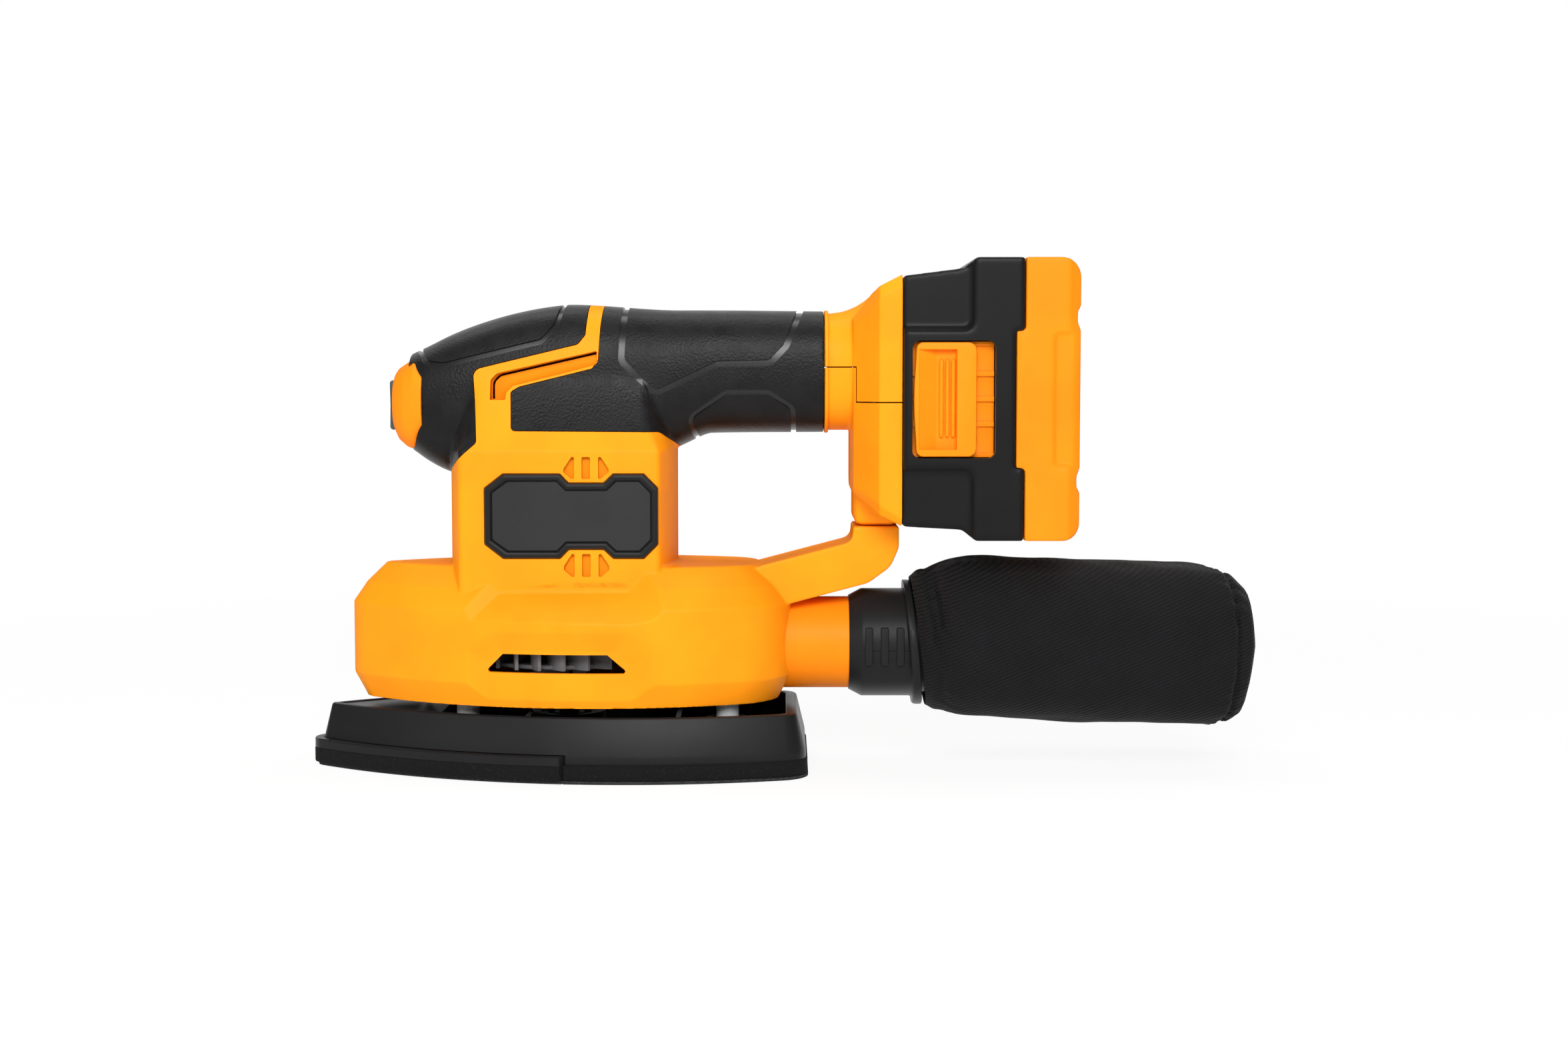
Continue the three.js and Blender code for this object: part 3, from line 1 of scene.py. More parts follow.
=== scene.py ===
"""Cordless multi-sander: an iron-shaped orbiting pad, a D-shaped handle, a slide-on battery pack
and a cloth dust bag, dressed with moulded shapes and finishes over a fixed frame."""

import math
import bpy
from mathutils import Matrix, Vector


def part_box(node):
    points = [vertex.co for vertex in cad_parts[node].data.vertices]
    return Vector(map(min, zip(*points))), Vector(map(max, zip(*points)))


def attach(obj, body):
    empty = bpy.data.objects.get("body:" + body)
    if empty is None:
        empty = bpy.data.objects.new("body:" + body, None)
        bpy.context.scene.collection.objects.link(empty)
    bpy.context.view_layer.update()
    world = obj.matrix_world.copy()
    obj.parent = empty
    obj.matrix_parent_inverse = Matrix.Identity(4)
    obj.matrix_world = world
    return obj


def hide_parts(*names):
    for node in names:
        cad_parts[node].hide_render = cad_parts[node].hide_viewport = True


bl_info = {
    "name": "Cordless Multi-Sander",
    "version": (1, 0, 0),
    "blender": (4, 5, 0),
    "location": "View3D > Sidebar > Sander",
    "description": "Builds the moulded, rubber, foam and cloth pieces of a cordless multi-sander",
    "category": "Add Mesh",
}

from contextlib import contextmanager
from types import SimpleNamespace as Sizes

import bmesh
import bpy
import numpy as np
from bpy.props import FloatProperty, FloatVectorProperty, IntProperty, PointerProperty
from mathutils import Matrix, Vector, noise

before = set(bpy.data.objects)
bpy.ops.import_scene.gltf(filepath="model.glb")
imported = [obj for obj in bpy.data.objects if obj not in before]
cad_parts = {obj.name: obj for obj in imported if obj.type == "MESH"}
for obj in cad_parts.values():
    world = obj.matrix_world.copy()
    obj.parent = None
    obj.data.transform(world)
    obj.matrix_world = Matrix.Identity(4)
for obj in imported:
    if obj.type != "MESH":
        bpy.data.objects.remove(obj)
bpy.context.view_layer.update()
MM = 0.001


def span(node):
    """Lowest and highest corner of a node of the frame, in millimetres."""
    low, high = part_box(node)
    return [v / MM for v in low], [v / MM for v in high]


# ------------------------------------------------------------------ settings


class SanderSizes(bpy.types.PropertyGroup):
    """Sizes that a user would change."""

    mould_detail: FloatProperty(
        name="Mould detail", description="Finest detail of the moulded housing",
        default=0.6 * MM, min=0.3 * MM, max=3 * MM, unit="LENGTH", precision=5,
    )
    mould_rounding: IntProperty(
        name="Mould rounding", description="How far moulded edges are rounded off",
        default=2, min=0, max=30,
    )
    edge_round: FloatProperty(
        name="Edge radius", description="Radius on the edges of small rigid pieces",
        default=0.5 * MM, min=0, max=3 * MM, unit="LENGTH", precision=5,
    )
    groove_depth: FloatProperty(
        name="Groove depth", description="Depth of the channels in the rubber skins",
        default=0.8 * MM, min=0.1 * MM, max=1.5 * MM, unit="LENGTH", precision=5,
    )
    bag_pressure: FloatProperty(
        name="Bag pressure", description="How far the dust bag is blown up",
        default=1.5, min=0, max=20,
    )


class SanderColours(bpy.types.PropertyGroup):
    """Base colours of the finishes."""

    housing: FloatVectorProperty(
        name="Housing", description="Moulded housing", subtype="COLOR",
        size=3, min=0, max=1, default=(0.95, 0.30, 0.007),
    )
    # A darker copy of the housing orange for the separate mouldings: partly their own tone and
    # partly painted shade, as on the dust port under the arm.
    insert: FloatVectorProperty(
        name="Separate mouldings and painted shade", description="Nose cap, dust port, pack cover and button",
        subtype="COLOR", size=3, min=0, max=1, default=(0.93, 0.245, 0.006),
    )
    grip: FloatVectorProperty(
        name="Grip", description="Soft rubber skins", subtype="COLOR",
        size=3, min=0, max=1, default=(0.008, 0.008, 0.0083),
    )
    moulding: FloatVectorProperty(
        name="Black moulding", description="Pack case, pad tray and collar", subtype="COLOR",
        size=3, min=0, max=1, default=(0.0125, 0.0125, 0.013),
    )
    plate: FloatVectorProperty(
        name="Plate", description="Badge plates and fan", subtype="COLOR",
        size=3, min=0, max=1, default=(0.017, 0.017, 0.018),
    )
    switch: FloatVectorProperty(
        name="Switch", description="Rocker switch", subtype="COLOR",
        size=3, min=0, max=1, default=(0.070, 0.088, 0.080),
    )
    cloth: FloatVectorProperty(
        name="Bag cloth", description="Woven dust bag", subtype="COLOR",
        size=3, min=0, max=1, default=(0.0031, 0.0031, 0.0035),
    )
    post: FloatVectorProperty(
        name="Posts", description="Rubber posts above the pad", subtype="COLOR",
        size=3, min=0, max=1, default=(0.36, 0.37, 0.37),
    )


def sizes():
    return bpy.context.scene.sander_sizes


def colours():
    return bpy.context.scene.sander_colours


# ------------------------------------------------------------------ finishes


class Nodes:
    """A material's node tree with short calls for adding and linking nodes."""

    def __init__(self, name):
        self.material = bpy.data.materials.new(name)
        self.material.use_nodes = True
        self.tree = self.material.node_tree
        self.shader = next(n for n in self.tree.nodes if n.type == "BSDF_PRINCIPLED")
        self.place = self.add("TexCoord").outputs["Object"]

    def add(self, kind, **values):
        node = self.tree.nodes.new("ShaderNode" + kind)
        for name, value in values.items():
            if hasattr(node, name):
                setattr(node, name, value)
            else:
                node.inputs[name.replace("_", " ")].default_value = value
        return node

    def link(self, source, target):
        self.tree.links.new(source, target)
        return target.node

    def noise(self, scale, detail=3.0, roughness=0.55):
        node = self.add("TexNoise", Scale=scale, Detail=detail, Roughness=roughness)
        self.link(self.place, node.inputs["Vector"])
        return node.outputs["Fac"]

    def ramp(self, source, low, high, dark=0.0, light=1.0):
        node = self.add("MapRange", From_Min=low, From_Max=high, To_Min=dark, To_Max=light)
        self.link(source, node.inputs["Value"])
        return node.outputs["Result"]

    def math(self, operation, a, b=None):
        node = self.add("Math", operation=operation)
        for socket, value in zip(node.inputs, (a, b)):
            if isinstance(value, (int, float)):
                socket.default_value = value
            elif value is not None:
                self.link(value, socket)
        return node.outputs[0]

    def blend(self, a, share_a, b, share_b):
        return self.math(
            "ADD", self.math("MULTIPLY", a, share_a), self.math("MULTIPLY", b, share_b))

    def mix(self, factor, a, b):
        node = self.add("Mix", data_type="RGBA")
        self.link(factor, node.inputs["Factor"])
        for socket, value in ((node.inputs["A"], a), (node.inputs["B"], b)):
            socket.default_value = (*value, 1)
        return node.outputs["Result"]

    def colour(self, factor, a, b):
        self.link(self.mix(factor, a, b), self.shader.inputs["Base Color"])

    def roughness(self, factor, low, high):
        self.link(self.ramp(factor, 0.3, 0.7, low, high), self.shader.inputs["Roughness"])

    def bump(self, heights):
        """Stacks (height, distance, strength) layers of relief on the shader's normal."""
        normal = None
        for height, distance, strength in heights:
            node = self.add("Bump", Distance=distance, Strength=strength)
            self.link(height, node.inputs["Height"])
            if normal:
                self.link(normal, node.inputs["Normal"])
            normal = node.outputs["Normal"]
        self.link(normal, self.shader.inputs["Normal"])

    def edge_shine(self, facing, edge):
        """A sheen that is stronger where a surface turns away."""
        turn = self.add("LayerWeight", Blend=0.5)
        shine = self.ramp(turn.outputs["Facing"], 0.35, 0.95, facing, edge)
        self.link(shine, self.shader.inputs["Specular IOR Level"])

    def set(self, **values):
        for name, value in values.items():
            self.shader.inputs[name.replace("_", " ")].default_value = value


def tint(colour, factor):
    return tuple(min(1.0, c * factor) for c in colour)


def moulded_plastic(name, colour, rough, grain, relief, shine=(0.12, 0.6)):
    """Injection-moulded plastic: spark-eroded grain, faint flow marks and handling scuffs."""
    n = Nodes(name)
    flow = n.noise(38, 2)
    fine = n.noise(grain, 2, 0.6)
    scuff = n.noise(900, 6, 0.75)
    n.colour(n.ramp(flow, 0.35, 0.65), tint(colour, 0.94), tint(colour, 1.04))
    n.roughness(n.blend(fine, 0.55, flow, 0.45), rough - 0.06, rough + 0.08)
    scuffs = n.ramp(scuff, 0.66, 0.74)
    n.bump([(flow, 0.0006, 0.05), (fine, 0.00006, relief), (scuffs, 0.00003, 0.12)])
    n.edge_shine(*shine)
    return n.material


def grip_rubber(name, colour, rough, relief):
    """Soft overmoulding: a leathery pebble with a dull bloom."""
    n = Nodes(name)
    pebble = n.add("TexVoronoi", Scale=1100.0, feature="SMOOTH_F1", Smoothness=0.5)
    n.link(n.place, pebble.inputs["Vector"])
    bloom = n.noise(120, 4)
    n.colour(n.ramp(bloom, 0.35, 0.7), tint(colour, 0.9), tint(colour, 1.3))
    n.roughness(bloom, rough - 0.05, rough + 0.07)
    n.bump([(bloom, 0.0004, 0.04), (pebble.outputs["Distance"], 0.00016, relief)])
    n.edge_shine(0.13, 0.8)
    return n.material


def pad_foam(name):
    """Closed-cell foam: dark with pale specks, shallow dents and a cellular relief."""
    n = Nodes(name)
    cell = n.add("TexVoronoi", Scale=1050.0, feature="F1", Randomness=1.0)
    n.link(n.place, cell.inputs["Vector"])
    specks = n.noise(1500, 5, 0.8)
    n.colour(n.ramp(specks, 0.57, 0.74), (0.0028, 0.0028, 0.0028), (0.04, 0.039, 0.037))
    n.roughness(specks, 0.86, 0.97)
    dents = n.noise(260, 3)
    n.bump([(dents, 0.0010, 0.35), (cell.outputs["Distance"], 0.0005, 0.7), (specks, 0.0003, 0.6)])
    n.set(Specular_IOR_Level=0.25)
    return n.material


def hook_sheet(name):
    """Hook fastening: rows of fine stems over a dark backing."""
    n = Nodes(name)
    stem = n.add("TexVoronoi", Scale=1400.0, Randomness=0.35)
    n.link(n.place, stem.inputs["Vector"])
    n.colour(n.ramp(stem.outputs["Distance"], 0.1, 0.5), (0.05, 0.05, 0.052), (0.012, 0.012, 0.012))
    n.bump([(stem.outputs["Distance"], 0.0004, 0.8)])
    n.set(Roughness=0.95)
    return n.material


def twill_cloth(name, colour):
    """Polyester twill: diagonal ribs crossed by single threads, with a soft sheen."""
    n = Nodes(name)
    turn = n.add("Mapping")
    turn.inputs["Rotation"].default_value = (0, math.radians(23), 0)
    n.link(n.place, turn.inputs["Vector"])
    ribs = n.add("TexWave", Scale=255.0, Distortion=1.2, Detail=2.0, Detail_Scale=2.0,
                 wave_type="BANDS", bands_direction="Z")
    threads = n.add("TexWave", Scale=330.0, Distortion=1.5, Detail=1.0,
                    wave_type="BANDS", bands_direction="X")
    for wave in (ribs, threads):
        n.link(turn.outputs["Vector"], wave.inputs["Vector"])
    weave = n.blend(ribs.outputs["Fac"], 0.7, threads.outputs["Fac"], 0.3)
    dusty = n.blend(weave, 0.75, n.noise(60, 5), 0.35)
    n.colour(n.ramp(dusty, 0.25, 0.95), tint(colour, 0.3), tint(colour, 3.6))
    n.roughness(weave, 0.78, 0.92)
    n.bump([(n.noise(140, 3), 0.0008, 0.12), (weave, 0.0003, 0.9)])
    n.set(Sheen_Weight=0.05, Sheen_Roughness=0.4, Specular_IOR_Level=0.18)
    return n.material


def machined_metal(name, colour, rough):
    n = Nodes(name)
    turn = n.add("Mapping")
    turn.inputs["Scale"].default_value = (260, 260, 2600)
    n.link(n.place, turn.inputs["Vector"])
    lines = n.add("TexNoise", Scale=1.0, Detail=3.0)
    n.link(turn.outputs["Vector"], lines.inputs["Vector"])
    n.colour(lines.outputs["Fac"], tint(colour, 0.85), tint(colour, 1.1))
    n.roughness(lines.outputs["Fac"], rough - 0.08, rough + 0.1)
    n.bump([(lines.outputs["Fac"], 0.00003, 0.3)])
    n.set(Metallic=1.0)
    return n.material


FINISHES = {}


def make_finishes():
    c = Sizes(**{name: tuple(getattr(colours(), name)) for name in SanderColours.__annotations__})
    satin, dull, pale_edge = (0.08, 0.0), (0.05, 0.0), (0.13, 0.9)
    FINISHES.update({finish: moulded_plastic(*values) for finish, values in {
        "housing": ("housing_orange_satin", c.housing, 0.46, 2600.0, 0.16, satin),
        # insert: the separate mouldings' orange, partly their own tone and partly painted shade
        "insert": ("insert_orange_satin", c.insert, 0.44, 2600.0, 0.14, satin),
        # recess: a matt copy of the housing orange, darkened to paint the shade inside the louvres
        # and the intake channel
        "recess": ("recess_orange_matt", tint(c.housing, 0.78), 0.6, 2600.0, 0.2, dull),
        "moulding": ("black_moulding", c.moulding, 0.4, 2400.0, 0.22),
        "case": ("pack_case_black", tint(c.moulding, 0.5), 0.4, 2400.0, 0.22, pale_edge),
        "gloss": ("black_channel_gloss", tint(c.moulding, 0.9), 0.28, 2400.0, 0.04, (0.34, 0.9)),
        "plate": ("charcoal_plate", c.plate, 0.34, 1800.0, 0.08, (0.3, 0.6)),
        "switch": ("switch_plastic", c.switch, 0.38, 2200.0, 0.1),
        "fan": ("fan_grey", (0.16, 0.16, 0.165), 0.4, 1800.0, 0.1),
        "cells": ("cell_wrap", (0.06, 0.2, 0.36), 0.25, 900.0, 0.05),
        "red_wire": ("red_insulation", (0.5, 0.03, 0.03), 0.45, 1500.0, 0.08),
        # seal: near-black, the black of a bearing seal and an oxided screw, and painted shade on
        # the bearing, the eccentric and the tray's boss and sockets under the housing
        "seal": ("bearing_seal", (0.006, 0.006, 0.006), 0.6, 1800.0, 0.1),
    }.items()})
    FINISHES.update(
        grip=grip_rubber("soft_grip", c.grip, 0.42, 0.6),
        post=grip_rubber("post_rubber", c.post, 0.7, 0.12),
        foam=pad_foam("pad_foam"),
        hook=hook_sheet("hook_fastening"),
        cloth=twill_cloth("bag_twill", c.cloth),
        steel=machined_metal("machined_steel", (0.55, 0.56, 0.57), 0.34),
        copper=machined_metal("bare_copper", (0.75, 0.36, 0.2), 0.3),
    )


# ------------------------------------------------------------------ shape tools, in millimetres


def mesh_object(name, points, faces):
    data = bpy.data.meshes.new(name)
    data.from_pydata([tuple(v * MM for v in p) for p in points], [], faces)
    data.validate()
    piece = bpy.data.objects.new(name, data)
    bpy.context.scene.collection.objects.link(piece)
    return piece


@contextmanager
def editing(piece):
    """The mesh of a piece, open for bmesh operations and written back after them."""
    shape = bmesh.new()
    shape.from_mesh(piece.data)
    yield shape
    shape.to_mesh(piece.data)
    shape.free()


def arc(x, y, radius, start, end, steps):
    angles = np.radians(np.linspace(start, end, steps + 1))
    return [(x + radius * math.cos(a), y + radius * math.sin(a)) for a in angles]


def rounded(corners, steps=6):
    """A closed outline through (x, y, radius) corners."""
    points = []
    count = len(corners)
    for i, (x, y, radius) in enumerate(corners):
        here = Vector((x, y))
        back = Vector(corners[i - 1][:2]) - here
        ahead = Vector(corners[(i + 1) % count][:2]) - here
        half = back.angle(ahead) / 2
        reach = min(back.length, ahead.length) * 0.49
        tangent = min(radius / math.tan(half), reach)
        if tangent < 0.02:
            points.append((x, y))
            continue
        start, end = here + back.normalized() * tangent, here + ahead.normalized() * tangent
        used = tangent * math.tan(half)
        inwards = (back.normalized() + ahead.normalized()).normalized()
        centre = here + inwards * (used / math.sin(half))
        for k in range(steps + 1):
            along = start.lerp(end, k / steps) - centre
            points.append(tuple(centre + along.normalized() * used))
    return points


def place(axis, u, v, along):
    """A point of a section: u and v are the other two axes in order, along is on the axis."""
    return {"x": (along, u, v), "y": (u, along, v), "z": (u, v, along)}[axis]


def loft_rings(name, rings):
    """A closed solid through rings of equal length, capped at both ends."""
    count, last = len(rings[0]), (len(rings) - 1) * len(rings[0])
    caps = [tuple(reversed(range(count))), tuple(range(last, last + count))]
    return face_outwards(mesh_object(
        name, [p for r in rings for p in r], grid(len(rings), count) + caps))


def loft_loop(name, rings):
    """A closed tube of rings whose last ring joins its first, such as a frame."""
    return face_outwards(mesh_object(
        name, [p for r in rings for p in r], grid(len(rings), len(rings[0]), True)))


def face_outwards(piece):
    with editing(piece) as shape:
        bmesh.ops.recalc_face_normals(shape, faces=shape.faces)
        if shape.calc_volume(signed=True) < 0:
            bmesh.ops.reverse_faces(shape, faces=shape.faces)
    return piece


def grid(rows, count, wrap=False):
    """Quads between rows of points that close on themselves, with the last row joined to the
    first where they wrap."""
    faces = []
    for r in range(rows if wrap else rows - 1):
        here, ahead = r * count, (r + 1) % rows * count
        faces += [(here + i, here + (i + 1) % count, ahead + (i + 1) % count, ahead + i)
                  for i in range(count)]
    return faces


def prism(name, axis, outline, low, high):
    return loft_rings(name, [[place(axis, u, v, at) for u, v in outline] for at in (low, high)])


def cuboid(name, x0, x1, y0, y1, z0, z1):
    return prism(name, "z", [(x0, y0), (x1, y0), (x1, y1), (x0, y1)], z0, z1)


def rod(name, axis, radius, low, high, u=0.0, v=0.0, sides=40):
    return prism(name, axis, arc(u, v, radius, 0, 360 - 360 / sides, sides - 1), low, high)


def hull(name, points):
    piece = mesh_object(name, points, [])
    with editing(piece) as shape:
        made = bmesh.ops.convex_hull(shape, input=shape.verts)
        inside = {e for e in made["geom_interior"] if isinstance(e, bmesh.types.BMVert)}
        bmesh.ops.delete(shape, geom=list(inside), context="VERTS")
    return face_outwards(piece)


def turned(name, axis, profile, u=0.0, v=0.0, sides=64):
    """A solid of revolution about an axis; the profile of (radius, along) closes on itself."""
    rings = []
    for k in range(sides):
        a = 2 * math.pi * k / sides
        rings.append([
            place(axis, u + r * math.cos(a), v + r * math.sin(a), at) for r, at in profile])
    return loft_loop(name, rings)


def oval(x, half, low, high, power=2.5, sides=72):
    middle, tall = (low + high) / 2, (high - low) / 2
    points = []
    for k in range(sides):
        a = 2 * math.pi * (k + 0.5) / sides
        c, s = math.cos(a), math.sin(a)
        points.append((
            x,
            math.copysign(abs(c) ** (2 / power), c) * half,
            middle + math.copysign(abs(s) ** (2 / power), s) * tall,
        ))
    return points


def band(line, width):
    """The outline of a strip of a given width along a line of points."""
    sides = [[], []]
    for i, (x, z) in enumerate(line):
        bx, bz = line[max(i - 1, 0)]
        ax, az = line[min(i + 1, len(line) - 1)]
        along = Vector((ax - bx, az - bz)).normalized()
        for side, sign in zip(sides, (-1, 1)):
            side.append((x - along.y * sign * width / 2, z + along.x * sign * width / 2))
    return sides[0] + sides[1][::-1]


def softened(line, radius, steps=5):
    """An open line with its inner corners rounded."""
    last = len(line) - 1
    return rounded([(*p, radius if 0 < i < last else 0) for i, p in enumerate(line)], steps)


def apply_modifiers(piece):
    graph = bpy.context.evaluated_depsgraph_get()
    made = bpy.data.meshes.new_from_object(piece.evaluated_get(graph))
    piece.modifiers.clear()
    old, piece.data = piece.data, made
    bpy.data.meshes.remove(old)
    return piece


def _combine(piece, tools, operation, keep):
    for tool in tools:
        step = piece.modifiers.new(operation, "BOOLEAN")
        step.operation = operation
        step.solver = "MANIFOLD"
        step.object = tool
    apply_modifiers(piece)
    if not piece.data.polygons:
        raise RuntimeError(f"{piece.name} came out empty")
    if not keep:
        for tool in tools:
            bpy.data.objects.remove(tool)
    return piece


def cut(piece, *tools, keep=False):
    return _combine(piece, tools, "DIFFERENCE", keep)


def join(piece, *tools, keep=False):
    return _combine(piece, tools, "UNION", keep)


def common(piece, tool, keep=False):
    return _combine(piece, [tool], "INTERSECT", keep)


def copy_of(piece, name):
    made = bpy.data.objects.new(name, piece.data.copy())
    bpy.context.scene.collection.objects.link(made)
    return made


def lump(name, *parts):
    """Loose closed parts in one mesh, for a remesh to merge."""
    made = copy_of(parts[0], name)
    shape = bmesh.new()
    for part in parts:
        shape.from_mesh(part.data)
        bpy.data.objects.remove(part)
    shape.to_mesh(made.data)
    shape.free()
    return made


def moulded(piece, detail=None, rounding=None):
    """Merges and rounds a lump as a mould would: an even skin, then smoothing."""
    skin = piece.modifiers.new("skin", "REMESH")
    skin.mode = "VOXEL"
    skin.voxel_size = detail or sizes().mould_detail
    soften = piece.modifiers.new("soften", "SMOOTH")
    soften.factor = 0.5
    soften.iterations = sizes().mould_rounding if rounding is None else rounding
    return apply_modifiers(piece)


def eased(piece, share, rounds):
    """Smooths the part of a piece where a share, from 0 to 1, is above 0."""
    group = piece.vertex_groups.new(name="ease")
    for vert in piece.data.vertices:
        weight = share(*(v / MM for v in vert.co))
        if weight > 0:
            group.add([vert.index], min(weight, 1), "REPLACE")
    step = piece.modifiers.new("ease", "SMOOTH")
    step.factor, step.iterations, step.vertex_group = 0.5, rounds, "ease"
    apply_modifiers(piece)
    piece.vertex_groups.clear()
    return piece


def coat(piece, *finishes):
    """Gives a piece these finishes in place of any that it has."""
    piece.data.materials.clear()
    for finish in finishes:
        piece.data.materials.append(FINISHES[finish])


def shade(piece, crease):
    """Smooth shading, with edges kept sharp past an angle in degrees."""
    piece.data.shade_smooth()
    piece.data.set_sharp_from_angle(angle=math.radians(crease))


def dress(piece, finish, body, *nodes, slot=None, crease=30):
    """Gives a finished piece its shading, finish, body and the nodes that it stands for. A piece
    that has its finishes already is given None."""
    if finish is not None:
        coat(piece, finish)
    shade(piece, crease)
    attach(piece, body)
    if nodes:
        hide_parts(*nodes)
    return piece


def rounded_edges(piece, width=None, segments=3, angle=28):
    step = piece.modifiers.new("edges", "BEVEL")
    step.width = sizes().edge_round if width is None else width
    step.segments = segments
    step.limit_method = "ANGLE"
    step.angle_limit = math.radians(angle)
    step.harden_normals = False
    step.miter_outer = "MITER_ARC"
    return apply_modifiers(piece)


def finish_node(name, finish, crease=30):
    """Keeps a frame node and gives it a finish."""
    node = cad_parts[name]
    coat(node, finish)
    shade(node, crease)


# ------------------------------------------------------------------ forms of the housing

PAD = Sizes(front=98.5, back=93.5, half=46.5, widest=25, tip=7, corner=13)
BASE = Sizes(front=82.5, back=88, half=45, widest=14, tip=17, corner=30)
BASE_FLOOR, WALL_LOW, WALL_HIGH, BASE_TOP = 27.6, 37.0, 64.5, 79.6
COLUMN = Sizes(
    front=43.4, back=43.8, width=32.5, front_bow=6.8, back_bow=5.5, shoulder=122.0, rise=31.0)
HANDLE = Sizes(top=177.0, under=129.6, half=20.5, end=100.4, nose=58.5)
SKIN, GAP, WALL = 2.0, 0.3, 2.5
BADGE = Sizes(middle=99.2, tall=15.8, front=27.0, back=38.0)
SWITCH_MIDDLE, ROCKER_HEIGHT, ROCKER_WIDTH = 140.5, 19.4, 13.6
FOOT = Sizes(front=111.7, back=129.2, half=37.0, low=95.5, high=189.3, split=141.8)
PORT_RADIUS, PORT_HEIGHT = 17.8, 47.9
RAILS = ((118, -1), (166, 1))
SCREWS = ((-36, 156), (72, 166), (33, 108), (-31, 119.2), (61, 70.5), (-58, 66))


def iron_side(plan, inset=0.0):
    """The radius and the middle of the long arc down one side of an iron-shaped outline."""
    tip = max(plan.tip - inset, 0.5)
    width = plan.half - inset
    reach = plan.widest + plan.front - inset - tip
    radius = (reach ** 2 + width ** 2 - tip ** 2) / (2 * (width - tip))
    return radius, width - radius


def iron(plan, inset=0.0, steps=40):
    tip = max(plan.tip - inset, 0.5)
    corner = max(plan.corner - inset, 0.5)
    radius, middle = iron_side(plan, inset)
    tip_x = -plan.front + inset + tip
    corner_x = plan.back - inset - corner
    corner_y = middle + math.sqrt((radius - corner) ** 2 - (corner_x - plan.widest) ** 2)
    tip_angle = math.degrees(math.atan2(-middle, tip_x - plan.widest))
    corner_angle = math.degrees(math.atan2(corner_y - middle, corner_x - plan.widest))
    upper = arc(corner_x, corner_y, corner, 0, corner_angle, 14)[:-1]
    upper += arc(plan.widest, middle, radius, corner_angle, tip_angle, steps)[:-1]
    upper += arc(tip_x, 0, tip, tip_angle, 180, 12)
    return upper + [(x, -y) for x, y in upper[:-1]][::-1]


def wall_at(x, plan=BASE):
    radius, middle = iron_side(plan)
    return middle + math.sqrt(radius ** 2 - (x - plan.widest) ** 2)


def layer(plan, inset, z, steps=40):
    return [(x, y, z) for x, y in iron(plan, inset, steps)]


def scarf(side):
    """The slope on each side that carries the column's face out to the wall of the base."""
    width = COLUMN.width
    edges = [(-36.4, 82, -39.8, 66.6), (-21.2, 70.4, -32.4, 60.2)]
    edges += [(x, 70.4, x * 1.27, 60.2) for x in (-12, 0, 12)]
    edges += [(26.6, 70.4, 32.8, 60.2), (37.4, 82, 41.6, 66.2)]
    rings = []
    for x, z, wall_x, wall_z in edges:
        wall = wall_at(wall_x)
        past = 0.6
        out = (wall_x + (wall_x - x) * past, wall + (wall - width) * past,
               wall_z + (wall_z - z) * past)
        ring = [(x, width, z), out, (out[0], out[1], 95), (x, width, 95)]
        rings.append([(p[0], side * p[1], p[2]) for p in ring])
    return loft_rings("scarf", rings)


def exhaust_recess(side, depth, grow=0.0, steps=40):
    """The hexagonal recess low on each side, with sloping borders and a floor that keeps the
    wall's curve. It holds the exhaust slot."""
    outer = [(-26, 57), (27.6, 57), (36.8, 50.6), (36.8, 22), (-34, 22), (-34, 50.2)]
    inner = [(-20, 48.9), (21.8, 48.9), (28.5, 43.8), (28.5, 22), (-26.4, 22), (-26.4, 44.8)]

    def ring(corners, depth_at, count=10):
        corners = [(x + math.copysign(grow, x), z + (grow if z > 40 else 0)) for x, z in corners]
        made = []
        for (x0, z0), (x1, z1) in zip(corners, corners[1:] + corners[:1]):
            for k in range(count):
                x, z = x0 + (x1 - x0) * k / count, z0 + (z1 - z0) * k / count
                made.append((x, side * depth_at(x), z))
        return made

    cutter = loft_rings("recess", [
        ring(inner, lambda x: 25), ring(inner, lambda x: wall_at(x) - depth),
        ring(outer, lambda x: wall_at(x) + 0.15), ring(outer, lambda x: 60)])
    return cut(cutter, prism("recess_floor", "z", iron(BASE, depth, steps), 10, 90))


def base_form(inset=0.0, floor=BASE_FLOOR, steps=40):
    middle = (WALL_HIGH + BASE_TOP) / 2
    body = loft_rings("base", [
        layer(BASE, inset + 4.6, floor, steps),
        layer(BASE, inset + 4.6, BASE_FLOOR + 0.6, steps),
        layer(BASE, inset, WALL_LOW, steps),
        layer(BASE, inset, WALL_HIGH - inset * 0.3, steps),
        layer(BASE, inset + 5.2, middle - inset * 0.7, steps),
        layer(BASE, inset + 13, BASE_TOP - inset, steps),
    ])
    return body


def column_ring(inset, narrow, z, steps=6, corner=2.4, taper=0.0):
    """The column seen from above: flat sides between a bowed front and a bowed back, which a
    taper bows further."""
    c = COLUMN
    half = c.width - inset - narrow
    corners = []
    for x, bow, way in (
            (c.back - inset, c.back_bow, 1), (inset - c.front, c.front_bow, -1)):
        for k in range(-steps, steps + 1):
            y = way * k / steps * half
            bowed = x - math.copysign((bow + taper) * (y / c.width) ** 2, x)
            corners.append((bowed, y, corner if abs(k) == steps else 0))
    return [(x, y, z) for x, y in rounded(corners, 6)]


def column_form(inset, low, high=None, steps=6):
    high = COLUMN.shoulder - inset if high is None else high
    return loft_rings("column", [column_ring(inset, 0, z, steps) for z in (low, high)])


def shoulder_form(inset, steps=6):
    """The column's shoulder, which leans in and tapers until it runs out along the barrel."""
    low, rise = COLUMN.shoulder - inset, COLUMN.rise
    rings = [column_ring(inset, 0, low - 4, steps)]
    for k in range(17):
        t = k / 16
        narrow = 12.6 * (1 - (1 - t) ** 1.35)
        rings.append(column_ring(inset, narrow, low + 1.4 + t * rise, steps, 2.4 + 5 * t, 26 * t))
    return loft_rings("shoulder", rings)


